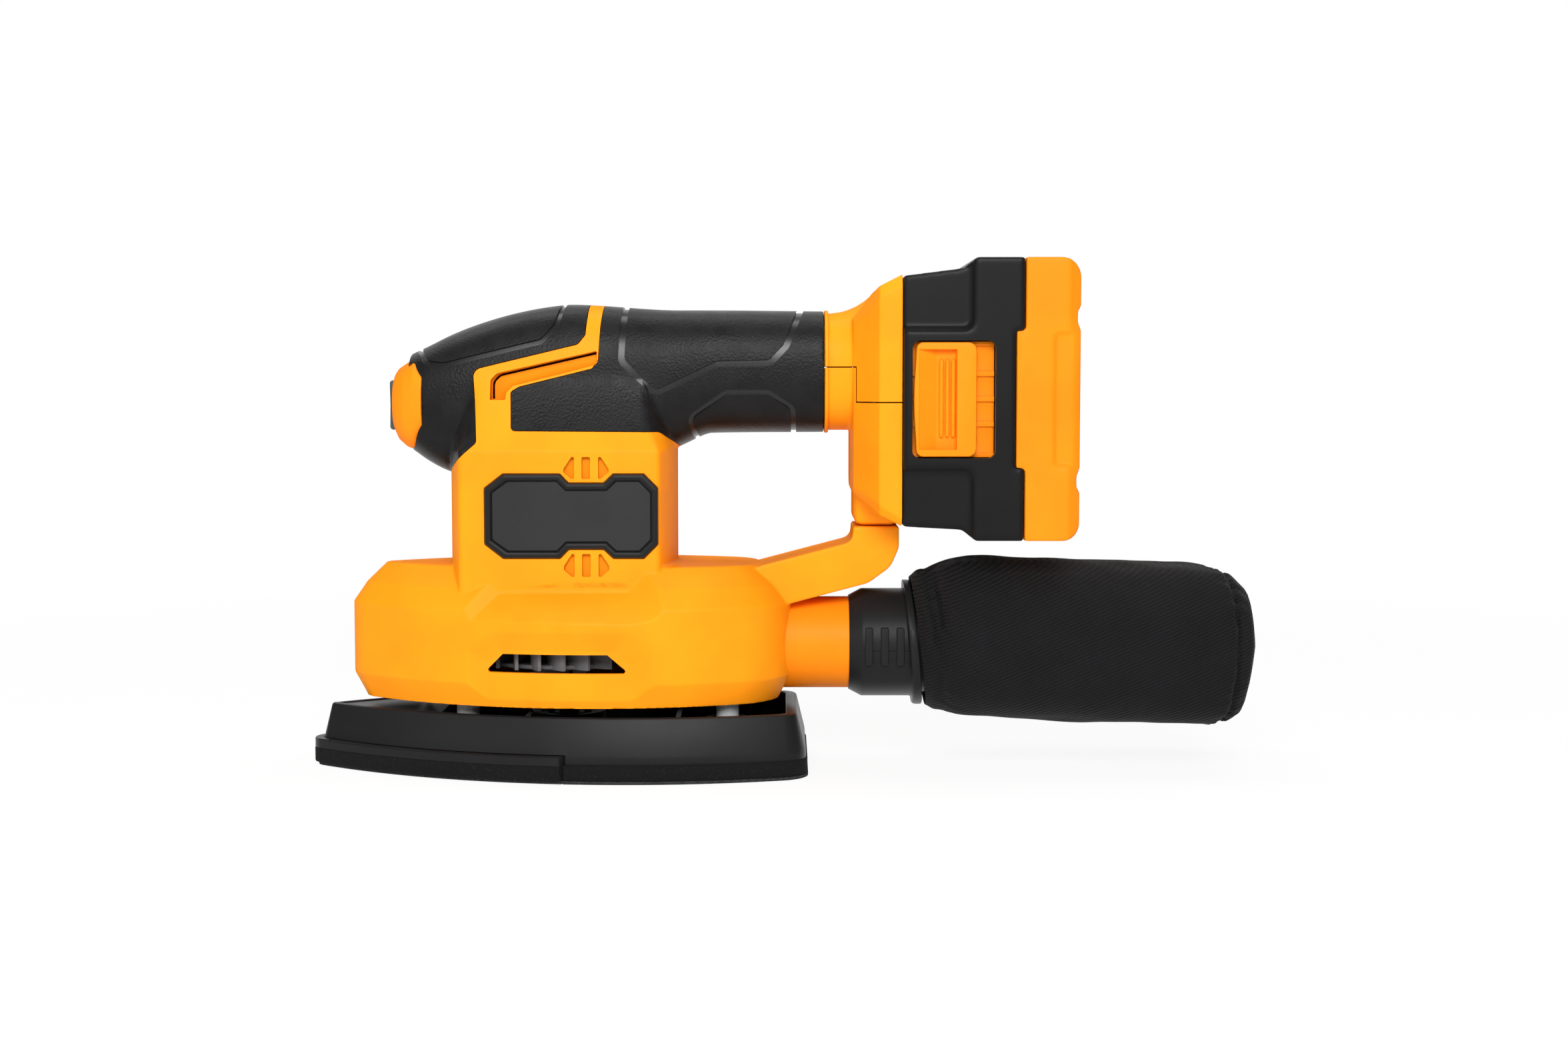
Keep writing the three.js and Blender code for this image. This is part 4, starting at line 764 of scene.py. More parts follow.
BARREL = (
    (-58.5, 123.2, 160.2, 16.4), (-52, 118.6, 163.2, 18.8), (-44, 114.6, 167.2, 20),
    (-24, 115, 174.4, 20.5), (2, 118, 179.2, 20.5), (44, 124.2, 177, 20.5),
    (56, 129.6, 177, 20.5), (100.4, 130, 176.6, 20.5),
)


def swept(table, at):
    """A row of a table of sections at a place along it, on a smooth curve through the rows."""
    rows = np.array(table, float)
    x = rows[:, 0]
    slopes = np.gradient(rows[:, 1:], x, axis=0)
    i = int(np.clip(np.searchsorted(x, at) - 1, 0, len(x) - 2))
    h = x[i + 1] - x[i]
    t = (at - x[i]) / h
    a, b = rows[i, 1:], rows[i + 1, 1:]
    chord = (b - a) / h
    m0, m1 = (
        np.where(slope * chord <= 0, 0, np.sign(chord) * np.minimum(abs(slope), 3 * abs(chord)))
        for slope in slopes[i:i + 2])
    return (
        (2 * t ** 3 - 3 * t ** 2 + 1) * a + (t ** 3 - 2 * t ** 2 + t) * h * m0
        + (-2 * t ** 3 + 3 * t ** 2) * b + (t ** 3 - t ** 2) * h * m1
    )


def barrel_form(inset, front_inset=None, sides=96, rings=70):
    start = -HANDLE.nose + (inset if front_inset is None else front_inset)
    places = np.linspace(start, HANDLE.end, rings)
    made = []
    for x in places:
        low, high, half = swept(BARREL, max(x, -HANDLE.nose))
        made.append(oval(x, half - inset, low + inset, high - inset, 2.5, sides))
    return loft_rings("barrel", made)


def arm_form(inset, edge=3.2):
    front, back = FOOT.front, FOOT.back
    outline = rounded([
        (50 + inset, 72.3 - inset, 0), (front - 0.4 + inset, 88.4 - inset, 5),
        (front + inset, 94.2 - inset, 0.5), (back - inset, 94.2 - inset, 0.5),
        (back - inset, 86, 6), (126 - inset * 0.8, 78.6 + inset * 0.6, 9),
        (117.5 - inset * 0.4, 72.4 + inset * 0.9, 9),
        (86 - inset, 64 + inset, 0), (50 + inset, 54.4 + inset, 0),
    ], 10)
    arm = prism("arm", "y", outline, -16 + inset, 16 - inset)
    return rounded_edges(arm, edge * MM, 2, 60) if edge else arm


def upper_form(inset, sides=96, steps=8):
    return join(
        column_form(inset, COLUMN.shoulder - 20, steps=steps),
        shoulder_form(inset, steps), barrel_form(inset, sides=sides))


def border(name, corners):
    return prism(name, "y", rounded(corners, 6), -60, 60)


def nose_region(grow=0.0):
    return border("nose_region", [
        (-75, 105, 0), (-47, 105, 0), (-44 + grow, 114.4, 4), (-30.4 + grow, 126.6, 2),
        (-33 + grow, 154.2 - grow, 3.4), (6.8 + grow, 163.8 - grow, 3),
        (9.6 + grow, 167.4 - grow, 2), (11.2 + grow, 190, 0), (-75, 190, 0)])


def handle_region(grow=0.0):
    return border("handle_region", [
        (17.4 - grow, 190, 0), (15.6 - grow, 170, 6), (15 - grow, 157.4 + grow, 1.6),
        (12.4, 154.2 + grow, 1.6), (-15, 147.4 + grow, 2), (-18 - grow, 145.4 + grow, 1.6),
        (-17.2 - grow, 131.2 - grow, 1.6), (38, 130.8 - grow, 3), (46, 124.4 - grow, 3),
        (52, 110, 0), (120, 110, 0), (120, 190, 0)])


def cap_form(grow=0.0, sides=72):
    rows = (
        (-65 - grow, 12, 131, 151), (-64.3 - grow, 13, 129.2, 153.2),
        (-63.2 - grow, 14.2, 126.8, 154.8),
        (-60.2, 16.8, 124.2, 156.8), (-58, 17.8, 123.4, 158), (-56.4, 18.6, 123.4, 158.9),
        (-55.6, 18.8, 124, 158.8), (-52.6 + grow, 19.9, 128.3, 155.3),
    )
    return loft_rings("nose_cap", [
        oval(x, half + grow, low - grow, high + grow, 2.8, sides) for x, half, low, high in rows])


def out_from(side, a, b):
    return min(side * a, side * b), max(side * a, side * b)


def badge_outline(inset, corner=0.8):
    tall, front, back = BADGE.tall - inset, inset - BADGE.front, BADGE.back - inset
    lean, waist = inset * 0.4, BADGE.tall - inset - 3.4
    upper = [
        (back, tall - 5.4 + lean), (back - 5.4 + lean, tall), (21.2 + lean, tall),
        (17.6 + lean, waist), (4.5 - lean, waist), (1.2 - lean, tall),
        (front + 7 - lean, tall), (front, tall - 5.4 + lean),
    ]
    whole = upper + [(x, -z) for x, z in upper][::-1]
    return rounded([(x, z + BADGE.middle, corner) for x, z in whole], 4)


INTAKE = ((14.4, 161.2, 0.6), (-23.6, 152.7, 3), (-26, 150.2, 2), (-26, 142.6, 0.3),
          (-20.2, 142.6, 0.3), (-19.8, 145.4, 1.5), (-17.4, 147.9, 1.5), (14.4, 155.9, 0.6))
INTAKE_SLIT = ((13.8, 160.3), (-22.6, 152), (-25.2, 149.4), (-25.2, 143))
EXHAUST_SLOT = ((-27, 40.9, 0.9), (27.6, 40.9, 0.9), (19.4, 48, 0.6), (-20, 48, 0.6))


def intake_recess(side):
    """A channel that is deepest along its slit and rises in a round slope to its lower rim."""
    rim = rounded(INTAKE, 6)
    middle = softened(INTAKE_SLIT, 3.4)
    rings = []
    for out, share in ((16.9, 0.8), (17.1, 0.45), (17.8, 0.2), (19, 0.05), (20.6, 0), (60, 0)):
        ring = []
        for x, z in rim:
            near = min(middle, key=lambda p: (p[0] - x) ** 2 + (p[1] - z) ** 2)
            far = math.hypot(near[0] - x, near[1] - z)
            pull = share if far > 2 else 0
            ring.append((x + (near[0] - x) * pull, side * out, z + (near[1] - z) * pull))
        rings.append(ring)
    return loft_rings("intake", rings)


def louvre_outlines():
    made = []
    for low, high in ((113.2, 121.4), (76.4, 85)):
        steep, shallow = high - 4.5, low + 2.5
        made += [
            [(2.6, steep), (5.6, high), (6.6, high), (6.6, low), (5.6, low), (2.6, shallow)],
            [(9.4, low), (12.6, low), (12.6, high), (9.4, high)],
            [(15.6, high), (16.6, high), (19.6, steep), (19.6, shallow), (16.6, low), (15.6, low)]]
    return [rounded([(*p, 0.5) for p in outline], 3) for outline in made]


def housing_block():
    """The whole orange and rubber body as one solid with moulded fillets."""
    base = base_form()
    for side in (-1, 1):
        cut(base, scarf(side), exhaust_recess(side, 3.2))
    solid = lump("housing_block", base, column_form(0, 60), shoulder_form(0), barrel_form(0),
                 arm_form(0))

    def flank(x, y, z):
        return 0 if abs(x - 8) > 58 else min((z - 124.5) / 4, (162 - z) / 4, (abs(y) - 15) / 3)

    return eased(moulded(solid), flank, 90)


def housing_room(inset):
    """The space inside the housing's walls, in coarse steps because it is out of sight."""
    base = base_form(inset, BASE_FLOOR - 1, 14)
    for side in (-1, 1):
        backing = exhaust_recess(side, 3.2 + inset, inset, 14)
        slope = scarf(side)
        slope.data.transform(Matrix.Translation((0, 0, -inset * 0.9 * MM)))
        cut(base, backing, slope)
    inner = SKIN + GAP + inset
    room = join(
        base, column_form(inset, 65, COLUMN.shoulder - 8, 3), shoulder_form(inner, 3),
        barrel_form(inner, 5.5 + inset, 16, 14))
    arm = cut(arm_form(inset, 0), cuboid("arm_end", 0, 60, -50, 50, 0, 100))
    return join(room, arm)


def halves(piece, name):
    """Splits a piece down the middle, with a hairline joint, into its right and left halves."""
    made = []
    for side, label in ((-1, "right"), (1, "left")):
        half = cuboid("half", -200, 300, *out_from(side, GAP / 2, 100), -10, 300)
        part = drop_crumbs(common(copy_of(piece, f"moulded_{label}_{name}"), half))
        made.append((part, f"{label}_{name}"))
    bpy.data.objects.remove(piece)
    return made


def drop_crumbs(piece, share=0.02):
    """Removes loose scraps that a cut has left beside a piece."""
    with editing(piece) as shape:
        left, groups = set(shape.verts), []
        while left:
            group, reached = set(), {left.pop()}
            while reached:
                group |= reached
                reached = {e.other_vert(v) for v in reached for e in v.link_edges} - group
            left -= group
            groups.append(group)
        largest = max(map(len, groups))
        scraps = [v for g in groups if len(g) < largest * share for v in g]
        bmesh.ops.delete(shape, geom=scraps, context="VERTS")
    return piece


# ------------------------------------------------------------------ pieces of the housing


def tagged(tool, *finishes):
    """A cutting tool whose cut faces take the last of the finishes."""
    coat(tool, *finishes)
    tool.data.polygons.foreach_set("material_index", [len(finishes) - 1] * len(tool.data.polygons))
    return tool


def build_housing():
    """Right and left shells with their rubber skins, all from one moulded block."""
    block = housing_block()
    skin_core, shell_core = upper_form(SKIN), upper_form(SKIN + GAP)
    room, rib_room = housing_room(WALL), housing_room(WALL - 1.2)
    cap = cap_form(GAP)
    wells = [rod("well", "y", 3.6, 8, 60, x, z, 32) for x, z in SCREWS]

    shell = copy_of(block, "shell")
    for region in (nose_region(GAP), handle_region(GAP)):
        cut(shell, cut(region, shell_core, keep=True))
    half_w, half_h = ROCKER_WIDTH / 2 + GAP, ROCKER_HEIGHT / 2 - 0.7 + GAP
    cut(shell, room, keep=True)
    cut(shell, prism("slot_room", "z", iron(BASE, 5.2, 30), 38.6, 51))
    recesses = []
    openings = [
        prism("slot", "y", rounded(EXHAUST_SLOT), -60, 60),
        rod("port_hole", "x", PORT_RADIUS + GAP, 60, 120, 0, PORT_HEIGHT, 64),
        cuboid("switch_window", -60, -48, -half_w, half_w,
               SWITCH_MIDDLE - half_h, SWITCH_MIDDLE + half_h),
    ]
    for side in (-1, 1):
        face = COLUMN.width
        openings += [
            prism("badge_seat", "y", badge_outline(-GAP), *out_from(side, face - 1.4, 60)),
            prism("intake_slit", "y", band(softened(INTAKE_SLIT, 3.4), 0.9),
                  *out_from(side, 10, 60)),
        ]
        recesses += [intake_recess(side)]
        recesses += [
            prism("louvre", "y", o, *out_from(side, face - 2.2, 60)) for o in louvre_outlines()]
    # The cut faces of the intake channel and the louvres take the recess finish, a darker orange
    # that paints the shade in these hollows.
    coat(shell, "housing", "recess")
    cut(shell, *[tagged(tool, "housing", "recess") for tool in recesses])
    join(shell, cuboid("baffle", -30, 20, -1.2, 1.2, 138, 164))
    cut(shell, *openings)
    bosses = [
        common(rod("boss", "y", 3.7, -50, 50, x, z, 24), rib_room, keep=True) for x, z in SCREWS]
    join(shell, *bosses)
    cut(shell, *[rod("bore", "y", 2.05, -12, 60, x, z, 16) for x, z in SCREWS])
    cut(shell, *wells, cap, keep=True)
    for piece, node in halves(shell, "shell"):
        dress(piece, None, "housing", node, slot="housing_orange", crease=32)

    skin = cut(block, skin_core, cap, *wells, keep=True)
    deep = upper_form(sizes().groove_depth / MM)
    over = upper_form(-1.2)
    rind = cut(over, deep)
    nose_lines = [
        ([(-55.6, 162.4), (-50.6, 156.4), (-44, 155.8), (-6.6, 164.8), (-1.4, 171), (2, 184)], 2.1)]
    handle_lines = [
        ([(24.8, 184), (23.4, 157.4), (36.4, 145), (60, 156.2), (80, 156.6), (86, 163),
          (93.4, 182)], 2.5),
        ([(53, 124), (49, 135.6), (63.2, 145.6), (79, 145.6), (88.6, 139.4), (89, 124)], 2),
    ]
    for label, region, lines in (
        ("nose_grip", nose_region(), nose_lines), ("handle_grip", handle_region(), handle_lines),
    ):
        part = common(copy_of(skin, label), region)
        coat(part, "grip", "gloss")
        for line, width in lines:
            path = prism("channel_path", "y", band(softened(line, 4, 8), width), -60, 60)
            cut(part, tagged(common(path, rind, keep=True), "grip", "gloss"))
        for piece, node in halves(part, label):
            dress(piece, None, "housing", node, slot="grip_rubber", crease=32)
    for tool in (skin, skin_core, shell_core, room, rib_room, cap, rind, *wells):
        bpy.data.objects.remove(tool)


def build_badges():
    """A ridged black frame round a bare plate, on each side of the column."""
    for side, label in ((-1, "right"), (1, "left")):
        face = COLUMN.width
        seat = face - 1.4 + GAP
        rings = []
        for inset, out in ((0, seat), (0, face + 0.5), (0.3, face + 1.05), (0.85, face + 1.35),
                           (1.5, face + 1.4), (2.1, face + 1.15), (2.5, face + 0.6),
                           (2.55, face - 0.2),
                           (3.6, face - 0.2), (3.6, seat)):
            outline = badge_outline(inset, max(1.0 - inset * 0.2, 0.4))
            rings.append([(x, side * out, z) for x, z in outline])
        frame_piece = loft_loop("badge_frame", rings)
        dress(frame_piece, "moulding", "housing", f"{label}_badge_frame", slot="black_plastic")
        plate_rings = []
        for inset, out in ((2.7, face - 0.15), (2.7, face + 0.2), (3, face + 0.5)):
            plate_rings.append([(x, side * out, z) for x, z in badge_outline(inset, 0.6)])
        plate = loft_rings("badge_plate", plate_rings)
        dress(plate, "plate", "housing", f"{label}_badge_plate", slot="charcoal_plastic")


def build_nose():
    """The orange cap, the switch behind it and the rocker."""
    hollow = loft_rings("cap_hollow", [
        oval(-62.4, 10.6, 130, 151, 3, 40), oval(-50, 16, 131, 152.4, 3, 40)])
    half_w, half_h = ROCKER_WIDTH / 2 + 0.6, ROCKER_HEIGHT / 2 + 0.6
    room = prism("rocker_room", "x", rounded([
        (-half_w, SWITCH_MIDDLE - half_h, 1.5), (half_w, SWITCH_MIDDLE - half_h, 1.5),
        (half_w, SWITCH_MIDDLE + half_h, 1.5), (-half_w, SWITCH_MIDDLE + half_h, 1.5)]), -72, -58)
    cap = cut(moulded(cap_form(0, 120), 0.4 * MM, 2), hollow, room)
    dress(drop_crumbs(cap), "insert", "housing", "nose_cap", slot="housing_orange", crease=40)
    low, high = SWITCH_MIDDLE - ROCKER_HEIGHT / 2 + 0.2, SWITCH_MIDDLE + ROCKER_HEIGHT / 2 - 0.2
    rocker = prism("rocker_boot", "y", rounded([
        (-66.8, low, 1.2), (-66.6, SWITCH_MIDDLE, 0), (-66.8, high, 1.2),
        (-61.5, high, 0.4), (-61.5, low, 0.4)]),
        0.2 - ROCKER_WIDTH / 2, ROCKER_WIDTH / 2 - 0.2)
    rounded_edges(rocker, 0.6 * MM, 3, 40)
    dress(rocker, "switch", "rocker", "rocker", slot="rocker_plastic", crease=50)
    finish_node("switch_body", "plate")


def build_port():
    """The dust port and the floor of the housing."""
    inner = PORT_RADIUS - 2.2
    port = turned("port", "x", [
        (inner, 70), (PORT_RADIUS, 70), (PORT_RADIUS, 110.5), (PORT_RADIUS - 0.5, 111),
        (inner + 0.4, 111), (inner, 110.6)], 0, PORT_HEIGHT, 96)
    flange = turned("flange", "x", [
        (inner + 0.5, 76), (PORT_RADIUS + 2.6, 76), (PORT_RADIUS + 2.6, 78.6), (inner + 0.5, 78.6)],
        0, PORT_HEIGHT, 96)
    common(flange, cuboid("flange_floor", 70, 90, -30, 30, BASE_FLOOR + 2.5, 80))
    # The port takes the darker insert orange, which partly paints the shade under the arm.
    dress(join(port, flange), "insert", "housing", "dust_port", slot="housing_orange")
    finish_node("base_plate", "moulding")


FOOT_NECK = Sizes(start=100.7, ring=1.4, split=155.0)


def foot_section(x, half, low, high, low_cut, high_cut):
    points = []
    for side in (-1, 1):
        points += [
            (x, side * half, low + low_cut), (x, side * (half - low_cut * 0.7), low),
            (x, side * half, high - high_cut), (x, side * (half - high_cut * 0.7), high)]
    return points


def foot_form(inset):
    front, back, half = FOOT.front, FOOT.back, FOOT.half
    low, high = FOOT.low, FOOT.high
    return hull("foot", [
        *foot_section(front - 1.2 + inset, 10 - inset, 109.5 + inset, 171 - inset, 4, 4),
        *foot_section(front - 0.4 + inset, 22 - inset, 107.5 + inset, 173.5 - inset, 2, 4),
        *foot_section(front + 5, 31 - inset, 103.6 + inset, 179.4 - inset, 3, 4),
        *foot_section(front + 9, half - inset, 99.6 + inset, 185 - inset, 4, 4),
        *foot_section(back - inset, half - inset, low + inset, high - inset, 3, 4)])


def stem_form():
    """The narrow root of the foot, as wide as the arm that it stands on."""
    stem = cuboid("stem", FOOT.front, FOOT.back, -16, 16, FOOT.low - 1, 112)
    return rounded_edges(stem, 3.2 * MM, 2, 60)


def neck_section(x, inset, sides=96, rise=0.0):
    """A section of the neck, which swells by a rise at its sides and top to meet the foot."""
    return oval(x, HANDLE.half - inset + rise * 0.7, 130 + inset, 176.6 - inset + rise, 2.5, sides)


def rail(height, out, start=-28, end=33):
    low, high = min(height - out * 1.5, height + out * 6), max(height - out * 1.5, height + out * 6)
    back = FOOT.back
    return join(
        cuboid("rail", back - 1, back + 4.4, start, end, height - 1.5, height + 1.5),
        cuboid("rail_lip", back + 2, back + 4.4, start, end, low, high))


def build_foot():
    """The foot that holds the battery: two shells with a stepped joint, a neck and two rails."""
    start, ring, front = FOOT_NECK.start, FOOT_NECK.ring, FOOT.front
    neck = [neck_section(start + 0.1, 0.8)]
    neck += [neck_section(x, 0.8, rise=rise) for x, rise in (
        (start + ring + 1, 0), (107, 0.5), (110, 1.4), (113, 2.7), (116, 4.6), (118.4, 6.6))]
    foot = moulded(lump("foot", foot_form(0), stem_form(), loft_rings("neck", neck)), 0.6 * MM, 3)
    collar = loft_rings("neck_ring", [
        neck_section(start, 0), neck_section(start + 0.3, -0.3),
        neck_section(start + ring - 0.3, -0.3), neck_section(start + ring, 0)])
    inner = SKIN + GAP + WALL + GAP
    spigot = loft_rings("spigot", [
        neck_section(HANDLE.end - 6, inner, 32), neck_section(start + 1, inner, 32)])
    join(foot, collar, spigot)
    hollow = cut(foot_form(WALL), cuboid("foot_floor", 0, 200, -60, 60, 0, FOOT.low + 3))
    bore = loft_rings("neck_bore", [oval(x, 13, 137, 169, 2.5, 32) for x in (93.4, front + 4)])
    seat = cuboid("terminal_seat", FOOT.back - 4, FOOT.back + 1, -14.9, 14.9, 128.3, 155.7)
    cut(foot, hollow, bore, seat)
    join(foot, *(rail(z, out) for z, out in RAILS))
    step, neck_split, split = front + 0.6, FOOT_NECK.split, FOOT.split
    under = join(
        cuboid("under", 80, step, -60, 60, 60, neck_split - 0.25),
        cuboid("under", 80, 140, -60, 60, 60, split - 0.25))
    over = join(
        cuboid("over", 80, 140, -60, 60, neck_split + 0.25, 200),
        cuboid("over", step + 0.3, 140, -60, 60, split + 0.25, 200))
    for label, half in (("lower", under), ("upper", over)):
        piece = common(copy_of(foot, f"foot_{label}"), half)
        if label == "lower":
            join(piece, *(
                cuboid("neck_tongue", 102, front - 0.5, *out_from(side, 12.2, out),
                       neck_split - 3, neck_split + over_split)
                for side in (-1, 1) for out, over_split in ((12.9, 3), (13.6, -1.4))))
        dress(drop_crumbs(piece), "housing", "housing", f"foot_{label}_shell",
              slot="housing_orange", crease=32)
    bpy.data.objects.remove(foot)


# ------------------------------------------------------------------ pad

HOOK_TOP, FOAM_TOP, TIP_TOP = 1.2, 7.0, 10.6
TRAY_FLOOR, TRAY_TOP, TRAY_LEDGE, TRAY_LEAN, TRAY_WALL = 11.4, 24.0, 2.2, 3.4, 3.1
BOW = Sizes(back=9.9, radius=120)
TIP_MIDDLE, TIP_HOLE_RING, SCREW_BORE = -42, 23, 2.05
TIP_HOLES = [
    (TIP_MIDDLE + TIP_HOLE_RING * math.cos(math.radians(a)),
     TIP_HOLE_RING * math.sin(math.radians(a)))
    for a in range(0, 360, 60)]
REAR_HOLES = [(x, s * y) for s in (-1, 1) for x, y in ((30, 29), (78, 24))]
POSTS = ((-37, -18), (-37, 18), (62.6, -21), (62.6, 21))


def shifted(piece):
    """Moves a piece of the pad onto the eccentric pin's axis."""
    piece.data.transform(Matrix.Translation((1 * MM, 0, 0)))
    return piece


def in_front(margin):
    return rod("bow", "z", BOW.radius + margin, -1, 30, BOW.back - BOW.radius, 0, 220)


def hole_tools(places, low, high, radius=4.0):
    return [rod("hole", "z", radius, low, high, x, y, 28) for x, y in places]


def pad_layer(name, plan_inset, low, high, front, edge=0.5):
    soft = edge * 0.3
    whole = loft_rings(name, [layer(PAD, plan_inset + inset, z, 60) for inset, z in (
        (edge, low), (soft, low + soft), (0, low + edge),
        (0, high - edge), (soft, high - soft), (edge, high))])
    if front:
        common(whole, in_front(0))
    else:
        cut(whole, in_front(0.6))
    cut(whole, *hole_tools(TIP_HOLES if front else REAR_HOLES, low - 1, high + 1))
    return whole


def build_pad_layers():
    """Foam and hook sheets, in a tip part and a rear part that meet along a bowed joint."""
    for front, label in ((True, "tip"), (False, "rear")):
        sheet = pad_layer(f"{label}_hooks", 0.15, 0, HOOK_TOP, front, 0.15)
        dress(shifted(sheet), "hook", "pad", f"{label}_hook_sheet", slot="hook_sheet")
        foam = pad_layer(
            f"{label}_pad_foam", -1.3 if front else 0.4, HOOK_TOP, FOAM_TOP, front, 0.5)
        dress(shifted(foam), "foam", "pad", f"{label}_foam", slot="pad_foam")


def build_tip_plate():
    """The bowed plate that carries the tip's foam, with a lip round the tip of the tray."""
    plate = common(loft_rings("tip_holder", [
        layer(PAD, -1.2, FOAM_TOP, 60), layer(PAD, -1.2, TIP_TOP - 0.7, 60),
        layer(PAD, -0.9, TIP_TOP - 0.3, 60)]), in_front(0))
    lip = cut(
        loft_rings("lip", [layer(PAD, -1.2, FOAM_TOP), layer(PAD, -1.2, TIP_TOP - 0.4),
                           layer(PAD, -0.9, TIP_TOP)]),
        prism("lip_room", "z", iron(PAD, TRAY_LEDGE - GAP), FOAM_TOP - 1, TRAY_TOP))
    common(lip, cuboid("lip_end", -PAD.front - 5, -PAD.front + 6, -20, 20, 0, TRAY_TOP))
    join(plate, lip)
    cut(plate, *hole_tools(TIP_HOLES, FOAM_TOP - 1, TIP_TOP + 1),
        rod("screw_hole", "z", SCREW_BORE, FOAM_TOP - 1, TIP_TOP + 1, TIP_MIDDLE, 0, 24))
    dress(shifted(plate), "moulding", "pad", "tip_plate", slot="black_plastic")


def build_tray():
    """The leaning tray: rim, floor, ribs, the bearing's housing and the posts' sockets."""
    top = TRAY_LEDGE + TRAY_LEAN
    tray = loft_rings("tray", [
        layer(PAD, TRAY_LEDGE, FOAM_TOP), layer(PAD, TRAY_LEDGE, FOAM_TOP + 2.2),
        layer(PAD, TRAY_LEDGE + 0.15, FOAM_TOP + 3.4),
        layer(PAD, top - 0.15, TRAY_TOP - 0.9), layer(PAD, top + 0.15, TRAY_TOP - 0.3),
        layer(PAD, top + 0.7, TRAY_TOP)])
    for vert in tray.data.vertices:
        vert.co.x += max(min((vert.co.x / MM - 60) / 20, 1), 0) * 1.2 * MM
    pocket = loft_rings("tray_pocket", [
        layer(PAD, TRAY_LEDGE + TRAY_LEAN * 0.3 + TRAY_WALL, TRAY_FLOOR),
        layer(PAD, top + TRAY_WALL, TRAY_TOP - 0.4),
        layer(PAD, top + TRAY_WALL - 0.5, TRAY_TOP + 0.01)])
    height = TRAY_FLOOR + 5
    ribs = [
        cuboid("tip_deck", -100, -46.6, -46, 46, TRAY_FLOOR - 1, TRAY_TOP - 0.5),
        cuboid("rib", -100, 95, -1, 1, TRAY_FLOOR - 1, height),
        cuboid("rib", -19, -17, -46, 46, TRAY_FLOOR - 1, height),
        cuboid("rib", 41, 43, -46, 46, TRAY_FLOOR - 1, height)]
    ribs = common(join(*ribs), pocket, keep=True)
    cut(tray, pocket)
    sockets = [rod("socket", "z", 8.7, TRAY_FLOOR - 1, 21.4, x, y, 40) for x, y in POSTS]
    boss = rod("boss", "z", 14.3, TRAY_FLOOR - 1, 21.2, 0, 0, 64)
    join(tray, ribs, boss, *sockets)
    tip_room = common(prism("tip_room", "z", iron(PAD, -1), FOAM_TOP - 1, TIP_TOP), in_front(0.6))
    cut(tray, tip_room, *hole_tools(TIP_HOLES, FOAM_TOP, height + 1),
        *hole_tools(REAR_HOLES, FOAM_TOP - 1, height + 1),
        rod("bearing_seat", "z", 11.3, 13.4, 30, 0, 0, 64),
        *[rod("post_seat", "z", 7.1, TRAY_FLOOR, TRAY_TOP, x, y, 40) for x, y in POSTS],
        rod("screw_hole", "z", SCREW_BORE, TIP_TOP - 1, TRAY_FLOOR + 1, TIP_MIDDLE, 0, 24),
        rod("screw_room", "z", 3.6, TRAY_FLOOR, TRAY_TOP, TIP_MIDDLE, 0, 24))
    # Faces round the bearing's boss and the posts' sockets take the near-black seal finish: painted
    # shade where they lie under the housing.
    coat(tray, "moulding", "seal")
    for face in tray.data.polygons:
        x, y, z = (v / MM for v in face.center)
        near = min([math.hypot(x, y) - 8] + [math.hypot(x - px, y - py) for px, py in POSTS])
        face.material_index = int(near < 9.5 and TRAY_FLOOR - 0.1 < z < 23)
    dress(shifted(tray), None, "pad", "pad_tray", slot="black_plastic")


def build_fan():
    """The extraction fan: a disc on a hub with curved vanes round its rim."""
    low, high = span("fan")
    radius, disc = high[0], low[2] + 1.6
    fan = turned("extraction_fan", "z", [
        (2.6, low[2]), (radius - 5.4, low[2]), (radius - 5, low[2] + 0.5), (radius - 5, disc - 0.4),
        (radius - 5.4, disc),
        (9, disc), (7, disc + 3), (7, high[2] - 1), (6, high[2]), (2.6, high[2])], 0, 0, 96)
    vanes = []
    for k in range(24):
        line = []
        for i in range(7):
            reach, swing = 19 + (radius - 19.6) * i / 6, k * math.tau / 24 + 0.34 * (i / 6) ** 1.4
            line.append((reach * math.cos(swing), reach * math.sin(swing)))
        vanes.append(prism("vane", "z", band(line, 1.3), low[2] + 0.1, high[2]))
    dress(join(fan, *vanes), "fan", "rotor", "fan", slot="charcoal_plastic")


def build_posts():
    """Four grey rubber posts, waisted between the tray and the housing."""
    for i, (x, y) in enumerate(POSTS, 1):
        profile = [(0, 11.7), (6.1, 11.7), (6.5, 12.1), (6.5, 17.2)]
        profile += [
            (6.5 - 2.2 * math.sin(math.pi * t / 8), 17.2 + 2.4 * t / 4) for t in range(1, 5)]
        profile += [(4.3, 27.5), (4, 27.9), (0, 27.9)]
        post = turned("post", "z", profile, x, y, 48)
        closed_on_axis(post)
        dress(shifted(post), "post", "pad", f"rubber_post_{i}", slot="post_rubber")


def closed_on_axis(piece):
    """Merges the points that a turned profile leaves along its axis."""
    with editing(piece) as shape:
        bmesh.ops.remove_doubles(shape, verts=shape.verts, dist=1e-7)
        bmesh.ops.dissolve_degenerate(shape, dist=1e-8, edges=shape.edges)
    return face_outwards(piece)


# ------------------------------------------------------------------ battery pack

PACK = Sizes(front=129.5, back=195.4, half=39.0, low=90.3, high=195.5, cover=174.3, step=153.5)
NOTCH = (117.6, 168.2)
BUTTON = Sizes(
    front=133.3, back=156.5, low=121.7, high=164.1, middle=142.9, floor=-33.2, reach=163.6)


def case_outline(inset):
    p, (low, high) = PACK, NOTCH
    return [
        (p.front + inset, 95.5 + inset), (p.step - 2, 94.3 + inset), (p.step + 3, p.low + inset),
        (p.cover, p.low + inset), (p.cover, low - 0.3), (p.cover - 3.3, low),
        (p.cover - 3.3, high), (p.cover, high + 0.3), (p.cover, p.high - inset),
        (p.step + 3, p.high - inset), (p.step - 2, 191.5 - inset),
        (p.front + inset, 188.7 - inset)]


